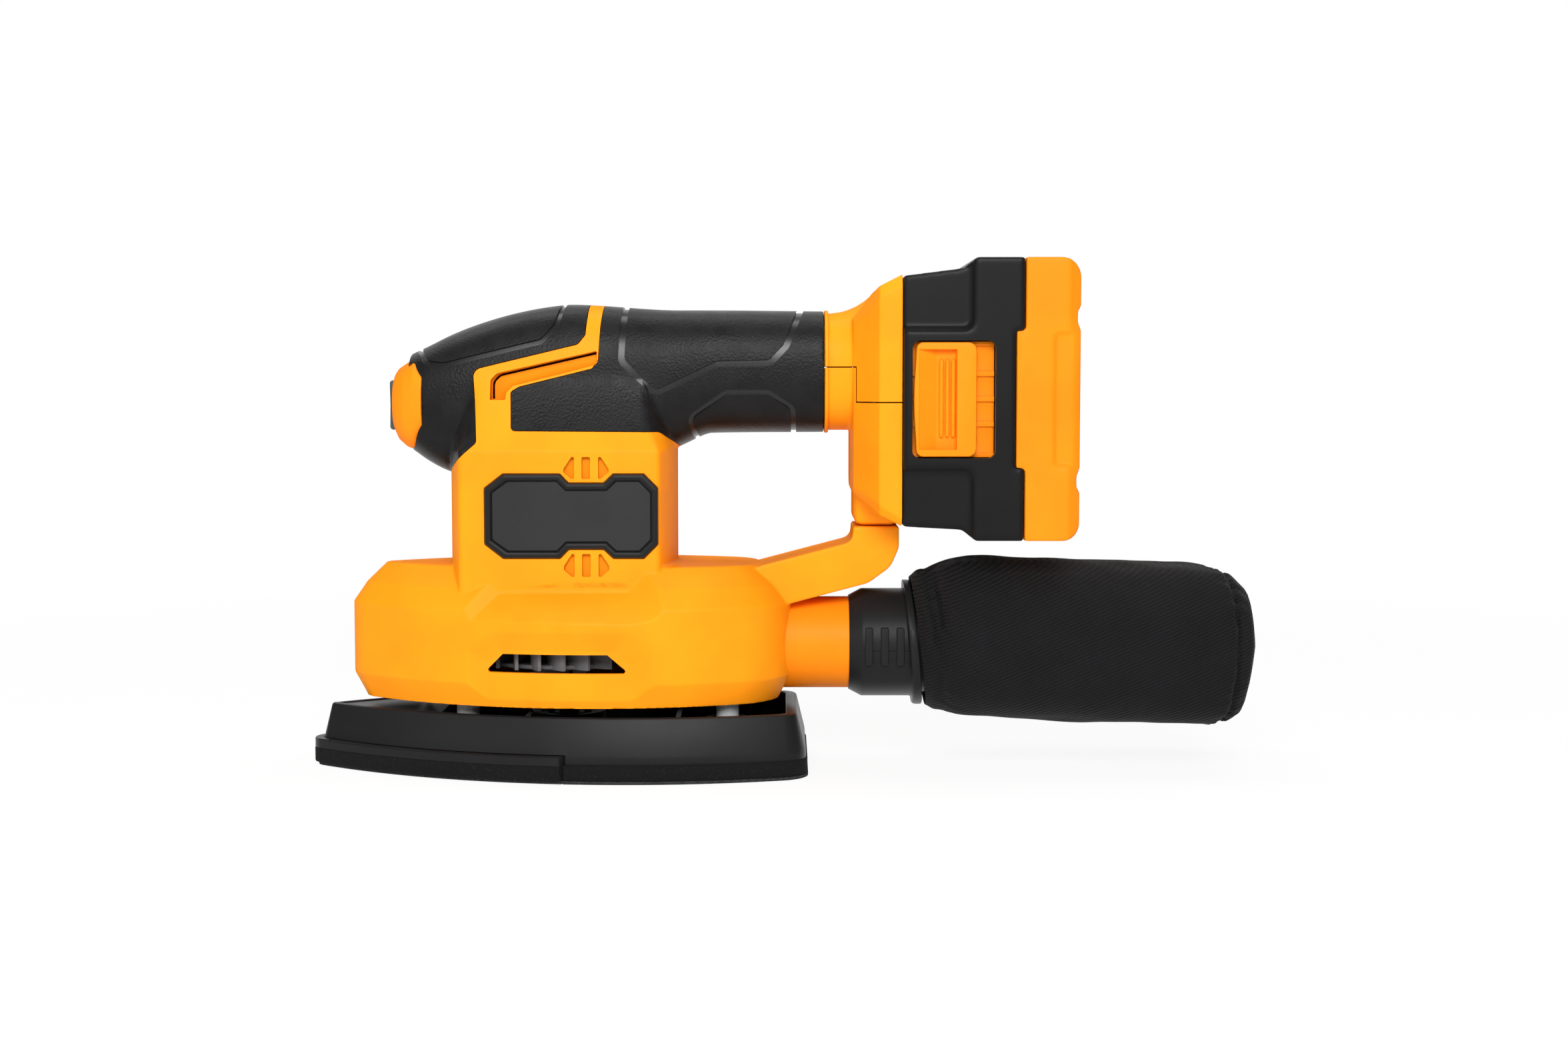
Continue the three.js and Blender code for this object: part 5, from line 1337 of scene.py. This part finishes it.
def cover_outline(inset):
    p, (low, high) = PACK, NOTCH
    front, back = p.cover + GAP, p.back - inset
    return rounded([
        (front, p.low + inset, 0), (back, p.low + inset, 6.5), (back, p.low + 18, 1),
        (back - 1.3, p.low + 20, 1), (back - 1.3, p.low + 24, 1), (back, p.low + 27, 1),
        (back, p.high - 27, 1), (back - 1.3, p.high - 24, 1), (back - 1.3, p.high - 20, 1),
        (back, p.high - 18, 1), (back, p.high - inset, 7.5), (front, p.high - inset, 0),
        (front, high + 0.3, 0), (front - 3.3, high, 0), (front - 3.3, low, 0),
        (front, low - 0.3, 0)], 8)


def pack_plan(inset):
    p = PACK
    return prism("pack_plan", "z", rounded([
        (p.front + inset, -p.half + inset, 1.5), 
        (p.back - 4.6 - inset, -p.half + inset, 0.6), (p.back - inset, -p.half + 3.4 + inset, 1),
        (p.back - inset, p.half - 3.4 - inset, 1), (p.back - 4.6 - inset, p.half - inset, 0.6),
        (p.front + inset, p.half - inset, 1.5)], 10), 80, 210)


def sloped_pocket(name, outline, side, face, depth, slope, radius):
    """A cutter that sinks an outline into a side face, with sloping borders and soft corners."""
    middle = (sum(p[0] for p in outline) / len(outline), sum(p[1] for p in outline) / len(outline))
    rings = []
    for out, grow in ((face - depth, 0.0), (face, slope), (face + 6, slope * (1 + 6 / depth))):
        corners = []
        for x, z in outline:
            corners.append((x + math.copysign(grow, x - middle[0]),
                            z + math.copysign(grow, z - middle[1]), radius))
        rings.append([(x, side * out, z) for x, z in rounded(corners, 8)])
    return loft_rings(name, rings)


def build_battery_case():
    """The black case: recessed corners beside a raised middle, rail channels and the pocket."""
    p, b = PACK, BUTTON
    body = common(prism("case", "y", case_outline(0), -p.half, p.half), pack_plan(0))
    for side in (-1, 1):
        for low, high in ((70, NOTCH[0] - 1.4), (NOTCH[1] + 1.4, 215)):
            cut(body, sloped_pocket(
                "case_corner", [(100, low), (p.step + 1, low), (p.step + 1, high), (100, high)],
                side, p.half, 2.4, 1.4, 3.5))
    body = moulded(body, 0.8 * MM, 4)
    front, step, back = p.front, p.step, p.back
    inside = prism("case_inside", "y", [
        (front + 2.4, 97.9), (step - 2, 97.9), (step + 4, p.low + 2.4), (back, p.low + 2.4),
        (back, p.high - 2.4), (step + 4, p.high - 2.4), (step - 2, 187.9),
        (front + 2.4, 187.9)], -34.2, 34.2)
    cut(body, inside)
    blocks = [cuboid("rail_block", front + 0.4, front + 7.4, -31, 38,
                     z + out * 2 - 6.6, z + out * 2 + 6.6)
              for z, out in RAILS]
    walls = cuboid("pocket_walls", front + 1, b.reach + 2, -37, b.floor + 1.8,
                   b.low - 2.6, b.high + 2.6)
    join(body, *blocks, walls)
    window = prism("window", "y", rounded([
        (b.front - 0.6, b.low - 0.6, 3), (b.reach, b.low - 0.6, 3),
        (b.reach, b.high + 0.6, 3), (b.front - 0.6, b.high + 0.6, 3)], 8), -50, b.floor)
    channels = []
    for z, out in RAILS:
        low, high = min(z - out * 1.5, z + out * 6) - 0.6, max(z - out * 1.5, z + out * 6) + 0.6
        channels += [cuboid("channel", front - 1, front + 5, -29, 50, z - 2.1, z + 2.1),
                     cuboid("channel_lip", front + 1.1, front + 4.7, -29, 50, low, high)]
    slots = [cuboid("blade_slot", front - 1, front + 4.6, -8, 50, z - 1.4, z + 1.4)
             for z in (135, 149)]
    cut(body, window, *channels, *slots,
        cuboid("latch_slot", b.front + 4, b.front + 16.4, -50, b.floor + 3, 138.4, 147.4),
        cuboid("latch_mouth", front - 1, front + 4, b.floor + 1.6, b.floor + 4.6, 134.4, 151.4))
    dress(drop_crumbs(body), "case", "battery", "battery_case", slot="black_plastic", crease=32)


def build_battery_cover():
    """The orange cover, waisted with a shallow band across each side."""
    p = PACK
    body = common(prism("cover", "y", cover_outline(0), -p.half, p.half), pack_plan(0))
    for side in (-1, 1):
        band_low, band_high = NOTCH[0] + 1.2, NOTCH[1] - 1.2
        cut(body, sloped_pocket(
            "cover_band", [(186, band_low), (230, band_low), (230, band_high), (186, band_high)],
            side, p.half, 1.3, 1.2, 2))
    body = moulded(body, 0.7 * MM, 4)
    low, high = p.low + 2.4, p.high - 2.4
    inside = prism("cover_inside", "y", [
        (p.cover - 10, low), (p.back - 4, low), (p.back - 4, high),
        (p.cover - 10, high)], -34.4, 34.4)
    cut(body, inside)
    dress(drop_crumbs(body), "insert", "battery", "battery_cover", slot="housing_orange", crease=32)


def build_release():
    """The orange release button with its thumb step, and the ribbed plate that it slides on."""
    p, b = PACK, BUTTON
    under = b.floor - 0.3 - 1.2 - 0.8
    bow = 1.0
    edge = [(b.front + bow - bow * math.sin(math.pi * t / 10),
             b.high - 2.5 - (b.high - b.low - 5) * t / 10)
            for t in range(11)]
    outline = rounded([(b.front + bow, b.low, 2.5), (b.back, b.low, 3), (b.back, b.high, 3),
                       (b.front + bow, b.high, 2.5)] + [(x, z, 0) for x, z in edge[1:-1]], 6)
    top = -p.half - 0.3
    rings = []
    for inset, y in ((0, under), (0, top + 0.7), (0.25, top + 0.2), (0.8, top)):
        rings.append([(x + (inset if x < 140 else -inset), y,
                       z + (inset if z < b.middle else -inset))
                      for x, z in outline])
    button = loft_rings("thumb_button", rings)
    floor, end, wall = under - 0.3, b.front + 8.4, b.front + 15.8
    pocket = prism("thumb_pocket", "z", rounded([
        (b.front + 1.4, -60, 0), (b.front + 1.8, -39, 0.5), (end, floor, 2), (wall, floor, 1.2),
        (wall + 0.8, -60, 0)], 5), b.low + 2.6, b.high - 2.6)
    cut(button, pocket)
    ribs = []
    for i in range(3):
        x = end + 1.9 + i * 2.2
        ribs.append(turned("thumb_rib", "z", [
            (0, b.low + 7), (0.6, b.low + 7.4), (0.8, b.low + 9), (0.8, b.high - 8),
            (0.6, b.high - 6.4), (0, b.high - 6)], x, floor - 0.7, 20))
    for rib in ribs:
        closed_on_axis(rib)
    join(button, *ribs)
    dress(button, "insert", "release", "release_button", slot="housing_orange", crease=40)
    low, high = span("button_guide")
    bars = [cuboid("bar", low[0], high[0], low[1], low[1] + 1.5, z - 1, z + 1)
            for z in (152.5, 143.1, 133.8)]
    bars += [cuboid("bar", low[0], high[0], low[1], low[1] + 1.5, *ends) for ends in (
        (low[2], low[2] + 1.6), (high[2] - 1.6, high[2]))]
    guide = join(
        cuboid("ribbed_plate", low[0], high[0], low[1] + 1, high[1], low[2], high[2]), *bars)
    dress(rounded_edges(guide, 0.2 * MM, 2), "insert", "battery", "button_guide",
          slot="housing_orange")


# ------------------------------------------------------------------ dust collector

COLLAR = Sizes(start=110.2, end=133.2, radius=21.0, flange=24.3, lean=0.1)
BAG = Sizes(start=137.2, end=264.4, lean=0.12)
BAG_MIDDLE = 48.5
BAG_SECTIONS = (
    (137.2, 23.4, 73.6, 24.6, 2), (140, 22.2, 76, 27, 2.1), (143.6, 21.6, 76.6, 28.8, 2.2),
    (148, 20.6, 78.6, 31.4, 2.5), (158, 19.8, 80.8, 33.4, 2.8), (195, 18.6, 79.4, 34.2, 3),
    (230, 17.4, 78.6, 34.2, 3.2), (248, 17.2, 77.7, 33.6, 3.4), (256, 17.4, 75.4, 32.4, 3.4),
    (260.4, 18.6, 71.6, 30.4, 3.4), (263.4, 21.6, 67, 27.4, 3.2), (264.4, 25, 62, 24, 3))


def leaned(piece, beyond, lean):
    """Leans what lies beyond a place along the collar, as the weight of the bag does."""
    for vert in piece.data.vertices:
        share = min(max((vert.co.x / MM - beyond) / 2, 0), 1)
        vert.co.x -= share * lean * (vert.co.z - PORT_HEIGHT * MM)
    return piece


def build_collar():
    """The black collar: a chamfered ferrule with three thumb ribs a side and a flange."""
    start, end, radius, flange = COLLAR.start, COLLAR.end, COLLAR.radius, COLLAR.flange
    spigot = PORT_RADIUS - 2.2 - GAP
    collar = turned("collar", "x", [
        (spigot - 2, start - 15), (spigot, start - 15), (spigot, start), (radius - 2.8, start),
        (radius - 2.6, start + 0.1), (radius - 0.1, start + 4.8), (radius, start + 5.3),
        (radius, end - 0.5), (radius + 0.5, end), (flange - 0.6, end), (flange - 0.2, end + 0.2),
        (flange, end + 0.6), (flange, end + 2.6), (flange - 0.2, end + 3),
        (flange - 0.6, end + 3.2),
        (19.4, end + 3.2), (19.4, end + 8), (spigot - 2, end + 8)], 0, PORT_HEIGHT, 128)
    parting = cut(
        cuboid("parting", start + 5, end, -30, 30, PORT_HEIGHT - 1.3, PORT_HEIGHT - 0.9),
        rod("parting_core", "x", radius - 0.3, start, end + 1, 0, PORT_HEIGHT, 96))
    cut(leaned(collar, end - 1.5, COLLAR.lean), parting)
    ribs = []
    for side in (-1, 1):
        for i in range(3):
            x = start + 6 + i * 6
            block = cuboid("grip_rib", x, x + 2.9, *out_from(side, 17, radius + 0.9),
                           PORT_HEIGHT - 6.4, PORT_HEIGHT + 7.8)
            ribs.append(rounded_edges(block, 0.4 * MM, 3))
    join(collar, *ribs)
    dress(collar, "moulding", "dust_collector", "bag_collar", slot="black_plastic", crease=35)


def bag_mesh(around=96, along=84, cap_rings=12):
    """The bag's outer skin, open at the collar, in even quads."""
    start, end = BAG.start, BAG.end
    rings = []
    for t in np.linspace(0, 1, along):
        x = start + (end - start) * (t if t < 0.8 else 1 - (1 - t) ** 1.5 / 0.2 ** 0.5)
        low, high, half, power = swept(BAG_SECTIONS, x)
        lean = BAG.lean * max(1 - (x - start) / 40, 0) ** 2
        ring = oval(x, half, low, high, power, around)
        slant = 0.13 * min(max((x - 215) / 45, 0), 1)
        rings.append([(
            px - lean * (pz - PORT_HEIGHT) + slant * min(pz - PORT_HEIGHT, 0), py, pz)
            for px, py, pz in ring])
    rim, middle = rings[-1], (end + 1.0, 0, 45)
    for k in range(1, cap_rings):
        share = k / cap_rings
        swell = math.sin(share * math.pi / 2)
        rings.append([
            (x + (middle[0] - x) * swell, y * (1 - share), z + (middle[2] - z) * share)
            for x, y, z in rim])
    points = [p for r in rings for p in r] + [middle]
    last = (len(rings) - 1) * around
    faces = grid(len(rings), around)
    faces += [(last + i, last + (i + 1) % around, len(points) - 1) for i in range(around)]
    piece = mesh_object("bag", points, faces)
    with editing(piece) as shape:
        bmesh.ops.recalc_face_normals(shape, faces=shape.faces)
    return piece


def inflate(piece, pressure, held, limit, frames=20):
    """Blows a cloth skin up for a short time with its held points fixed, and keeps the result
    within a limit of where each point began."""
    group = piece.vertex_groups.new(name="held")
    group.add(held, 1.0, "REPLACE")
    start = np.array([v.co for v in piece.data.vertices])
    cloth = piece.modifiers.new("cloth", "CLOTH")
    settings = cloth.settings
    settings.quality = 6
    settings.mass = 0.25
    settings.tension_stiffness = settings.compression_stiffness = 12
    settings.shear_stiffness = 4
    settings.bending_stiffness = 0.4
    settings.use_pressure = True
    settings.uniform_pressure_force = pressure
    settings.vertex_group_mass = "held"
    settings.effector_weights.gravity = 0.0
    cloth.collision_settings.use_collision = False
    cloth.point_cache.frame_start, cloth.point_cache.frame_end = 1, frames
    scene = bpy.context.scene
    for number in range(1, frames + 1):
        scene.frame_set(number)
    apply_modifiers(piece)
    scene.frame_set(1)
    moved = np.array([v.co for v in piece.data.vertices]) - start
    far = np.maximum(np.linalg.norm(moved, axis=1) / (limit * MM), 1)[:, None]
    for vert, co in zip(piece.data.vertices, start + moved / far):
        vert.co = co
    piece.vertex_groups.clear()
    return piece


def subdivided(piece, levels=1):
    step = piece.modifiers.new("subdivision", "SUBSURF")
    step.levels = step.render_levels = levels
    return apply_modifiers(piece)


def build_bag():
    """The cloth bag: blown up, then gathered at its hem, puckered at its end seam and lined."""
    around = 96
    bag = bag_mesh(around)
    inflate(bag, sizes().bag_pressure, list(range(around * 2)), 1.4)
    subdivided(bag, 1)
    for vert in bag.data.vertices:
        x, y, z = (v / MM for v in vert.co)
        turn = math.atan2(z - BAG_MIDDLE, y)
        hem = x - BAG.start + BAG.lean * (z - PORT_HEIGHT)
        fold = noise.noise(Vector((x * 0.028, turn * 1.6, 5.1))) * 0.9
        fold += noise.noise(Vector((x * 0.09, turn * 3.5, 9.3))) * 0.35
        edge = 1 if z > 48 else 0.5
        gather = noise.noise(Vector((turn * 9, hem * 0.12, 1.7)))
        fold += gather * edge * math.exp(-((hem - 7) / 5) ** 2)
        out = Vector((0, y, z - BAG_MIDDLE)).normalized()
        fold += edge * 0.6 * math.exp(-((hem - 3) / 2.2) ** 2)
        fold -= edge * 1.5 * out.y ** 2 * math.exp(-((hem - 6.6) / 1.0) ** 2)
        if y < 0:
            fold -= 2 * math.exp(-((hem - 13) / 6) ** 2 - ((z - 66) / 9) ** 2)
            fold -= 3.2 * math.exp(-((hem - 9.8) / 1.1) ** 2 - ((z - 65) / 10) ** 4)
        seam_x = 256.8 - 2.6 * ((z - 50) / 27) ** 2
        seam = math.exp(-((x - seam_x) / 1.0) ** 2)
        pucker = math.exp(-((x - seam_x) / 5) ** 2) * noise.noise(Vector((turn * 11, x * 0.1, 2.2)))
        fold += 1.6 * pucker - 2 * seam
        fold *= min(max(hem / 2.5, 0), 1)
        vert.co = Vector(vert.co) + out * fold * MM
    lining = bag.modifiers.new("lining", "SOLIDIFY")
    lining.thickness = 0.8 * MM
    lining.offset = -1
    apply_modifiers(bag)
    dress(bag, "cloth", "dust_collector", "dust_bag", slot="bag_cloth", crease=70)


# ------------------------------------------------------------------ inner parts and stage

INNER_FINISHES = {
    "steel": ("motor_can", "motor_shaft", "latch", *(f"housing_screw_{i}" for i in range(1, 7))),
    # Painted shade: the steel bearing and eccentric are painted near-black where they lie under the
    # housing; the tip plate's screw is black oxide.
    "seal": ("bearing_inner_ring", "bearing_outer_ring", "bearing_balls", "eccentric",
             "tip_plate_screw"),
    "copper": ("armature", "commutator", "positive_blade", "negative_blade"),
    "moulding": ("motor_end_cap", "terminal_block", "negative_lead"),
    "plate": ("front_magnet", "rear_magnet", "battery_board"),
    "red_wire": ("positive_lead",),
    "cells": ("cell_block",),
}


def finish_inner_parts():
    for finish, names in INNER_FINISHES.items():
        for name in names:
            finish_node(name, finish)


def area_light(name, place, aim, size, watts):
    data = bpy.data.lights.new(name, "AREA")
    data.shape, data.size, data.size_y = "RECTANGLE", size[0], size[1]
    data.energy = watts
    lamp = bpy.data.objects.new(name, data)
    lamp.location = place
    lamp.rotation_euler = (Vector(aim) - Vector(place)).to_track_quat("-Z", "Y").to_euler()
    bpy.context.scene.collection.objects.link(lamp)
    return lamp


def pale_stage(name, near=1.0):
    """A white surface that shows white to the eye and in mirrors, and still takes a shadow near
    the sander."""
    n = Nodes(name)
    grain = n.noise(40, 2)
    n.colour(grain, (0.88, 0.88, 0.88), (0.92, 0.92, 0.92))
    n.set(Roughness=0.9, Specular_IOR_Level=0.0)
    reach = n.add("VectorMath", operation="DISTANCE")
    n.link(n.place, reach.inputs[0])
    reach.inputs[1].default_value = (0.09, 0, 0)
    path = n.add("LightPath")
    seen = n.math("MAXIMUM", path.outputs["Is Camera Ray"], path.outputs["Is Glossy Ray"])
    seen = n.math("MAXIMUM", seen, path.outputs["Is Transmission Ray"])
    glow = n.add("Emission", Strength=1.0)
    mix = n.add("MixShader")
    out = next(node for node in n.tree.nodes if node.type == "OUTPUT_MATERIAL")
    glow_share = n.ramp(reach.outputs["Value"], 0.25, 0.8, near, 1.0)
    n.link(n.math("MULTIPLY", seen, glow_share), mix.inputs[0])
    n.link(n.shader.outputs[0], mix.inputs[1])
    n.link(glow.outputs[0], mix.inputs[2])
    n.link(mix.outputs[0], out.inputs["Surface"])
    return n.material


def sheet_of(name, x, y0, y1, z0, z1, material):
    """A flat sheet x either way across, from one edge at y0, z0 to the other at y1, z1."""
    corners = [(-x, y0, z0), (x, y0, z0), (x, y1, z1), (-x, y1, z1)]
    piece = mesh_object(name, corners, [(0, 1, 2, 3)])
    piece.data.materials.append(material)
    return piece


def build_stage():
    """A white floor and backdrop, soft lights and the camera."""
    scene = bpy.context.scene
    scene.view_settings.view_transform = "Standard"
    floor, back = pale_stage("stage_floor", 0.9), pale_stage("stage_backdrop")
    sheet_of("floor", 4000, -3000, 3000, 0, 0, floor)
    sheet_of("backdrop", 6000, 3000, 3000, -50, 4000, back)

    world = bpy.data.worlds.new("studio")
    scene.world = world
    world.use_nodes = True
    sky = next(n for n in world.node_tree.nodes if n.type == "BACKGROUND")
    sky.inputs["Color"].default_value = (1, 1, 1, 1)
    sky.inputs["Strength"].default_value = 0.17

    middle = (0.085, 0, 0.1)
    area_light("key", (0.1, -1.35, 0.8), middle, (0.9, 0.6), 24)
    area_light("fill", (-1.0, -0.9, 0.45), middle, (0.6, 0.6), 2.5)
    area_light("top", (0.1, 0.12, 1.1), middle, (1.6, 0.35), 8)

    aim = Vector((85.15, 0, 94.64)) * MM
    pitch, distance = math.radians(3.9), 825.6 * MM
    data = bpy.data.cameras.new("camera")
    data.sensor_width, data.lens = 36, 48.6
    camera = bpy.data.objects.new("camera", data)
    camera.location = aim + Vector((0, -math.cos(pitch), math.sin(pitch))) * distance
    camera.rotation_euler = (math.radians(90) - pitch, 0, 0)
    scene.collection.objects.link(camera)
    scene.camera = camera


# ------------------------------------------------------------------ operators and panel


class SanderOperator:
    """One step of the build. A step that fails raises its error, so the build stops."""

    bl_options = {"REGISTER", "UNDO"}
    build = ()

    def execute(self, context):
        for step in type(self).build:
            step()
        return {"FINISHED"}


class SANDER_OT_finishes(SanderOperator, bpy.types.Operator):
    """Make the finishes that the pieces share"""

    bl_idname = "sander.finishes"
    bl_label = "Finishes"
    build = (make_finishes,)


class SANDER_OT_housing(SanderOperator, bpy.types.Operator):
    """Build the two housing shells and their rubber skins"""

    bl_idname = "sander.housing"
    bl_label = "Housing and Grips"
    build = (build_housing,)


class SANDER_OT_badges(SanderOperator, bpy.types.Operator):
    """Build the bare badges on both sides of the column"""

    bl_idname = "sander.badges"
    bl_label = "Badges"
    build = (build_badges,)


class SANDER_OT_nose(SanderOperator, bpy.types.Operator):
    """Build the nose cap and the rocker switch"""

    bl_idname = "sander.nose"
    bl_label = "Nose and Rocker"
    build = (build_nose,)


class SANDER_OT_port(SanderOperator, bpy.types.Operator):
    """Build the dust port"""

    bl_idname = "sander.port"
    bl_label = "Dust Port"
    build = (build_port,)


class SANDER_OT_foot(SanderOperator, bpy.types.Operator):
    """Build the foot that holds the battery"""

    bl_idname = "sander.foot"
    bl_label = "Battery Foot"
    build = (build_foot,)


class SANDER_OT_pad(SanderOperator, bpy.types.Operator):
    """Build the foam, the plates, the tray and the posts of the sanding pad"""

    bl_idname = "sander.pad"
    bl_label = "Sanding Pad"
    build = (build_pad_layers, build_tip_plate, build_tray, build_posts, build_fan)


class SANDER_OT_battery(SanderOperator, bpy.types.Operator):
    """Build the battery pack and its release button"""

    bl_idname = "sander.battery"
    bl_label = "Battery Pack"
    build = (build_battery_case, build_battery_cover, build_release)


class SANDER_OT_dust_bag(SanderOperator, bpy.types.Operator):
    """Build the collar and the cloth dust bag"""

    bl_idname = "sander.dust_bag"
    bl_label = "Dust Bag"
    build = (build_collar, build_bag)


class SANDER_OT_inner_parts(SanderOperator, bpy.types.Operator):
    """Give the motor, the wiring and the other inner parts their finishes"""

    bl_idname = "sander.inner_parts"
    bl_label = "Inner Parts"
    build = (finish_inner_parts,)


class SANDER_OT_stage(SanderOperator, bpy.types.Operator):
    """Set out the floor, the backdrop, the lights and the camera"""

    bl_idname = "sander.stage"
    bl_label = "Stage"
    build = (build_stage,)


OPERATORS = (
    SANDER_OT_finishes, SANDER_OT_housing, SANDER_OT_badges, SANDER_OT_nose, SANDER_OT_port,
    SANDER_OT_foot, SANDER_OT_pad, SANDER_OT_battery, SANDER_OT_dust_bag, SANDER_OT_inner_parts,
    SANDER_OT_stage,
)


class SANDER_PT_panel(bpy.types.Panel):
    """Sizes, colours and build steps of the sander"""

    bl_idname = "SANDER_PT_panel"
    bl_label = "Multi-Sander"
    bl_space_type = "VIEW_3D"
    bl_region_type = "UI"
    bl_category = "Sander"

    def draw(self, context):
        for group in (context.scene.sander_sizes, context.scene.sander_colours):
            column = self.layout.column(align=True)
            for name in group.__annotations__:
                column.prop(group, name)
        for operator in OPERATORS:
            self.layout.operator(operator.bl_idname)


CLASSES = (SanderSizes, SanderColours, *OPERATORS, SANDER_PT_panel)


def register():
    for cls in CLASSES:
        bpy.utils.register_class(cls)
    bpy.types.Scene.sander_sizes = PointerProperty(type=SanderSizes)
    bpy.types.Scene.sander_colours = PointerProperty(type=SanderColours)


def unregister():
    del bpy.types.Scene.sander_colours
    del bpy.types.Scene.sander_sizes
    for cls in reversed(CLASSES):
        bpy.utils.unregister_class(cls)


def main():
    register()
    bpy.ops.sander.finishes()
    bpy.ops.sander.housing()
    bpy.ops.sander.badges()
    bpy.ops.sander.nose()
    bpy.ops.sander.port()
    bpy.ops.sander.foot()
    bpy.ops.sander.pad()
    bpy.ops.sander.battery()
    bpy.ops.sander.dust_bag()
    bpy.ops.sander.inner_parts()
    bpy.ops.sander.stage()


if __name__ == "__main__":
    main()
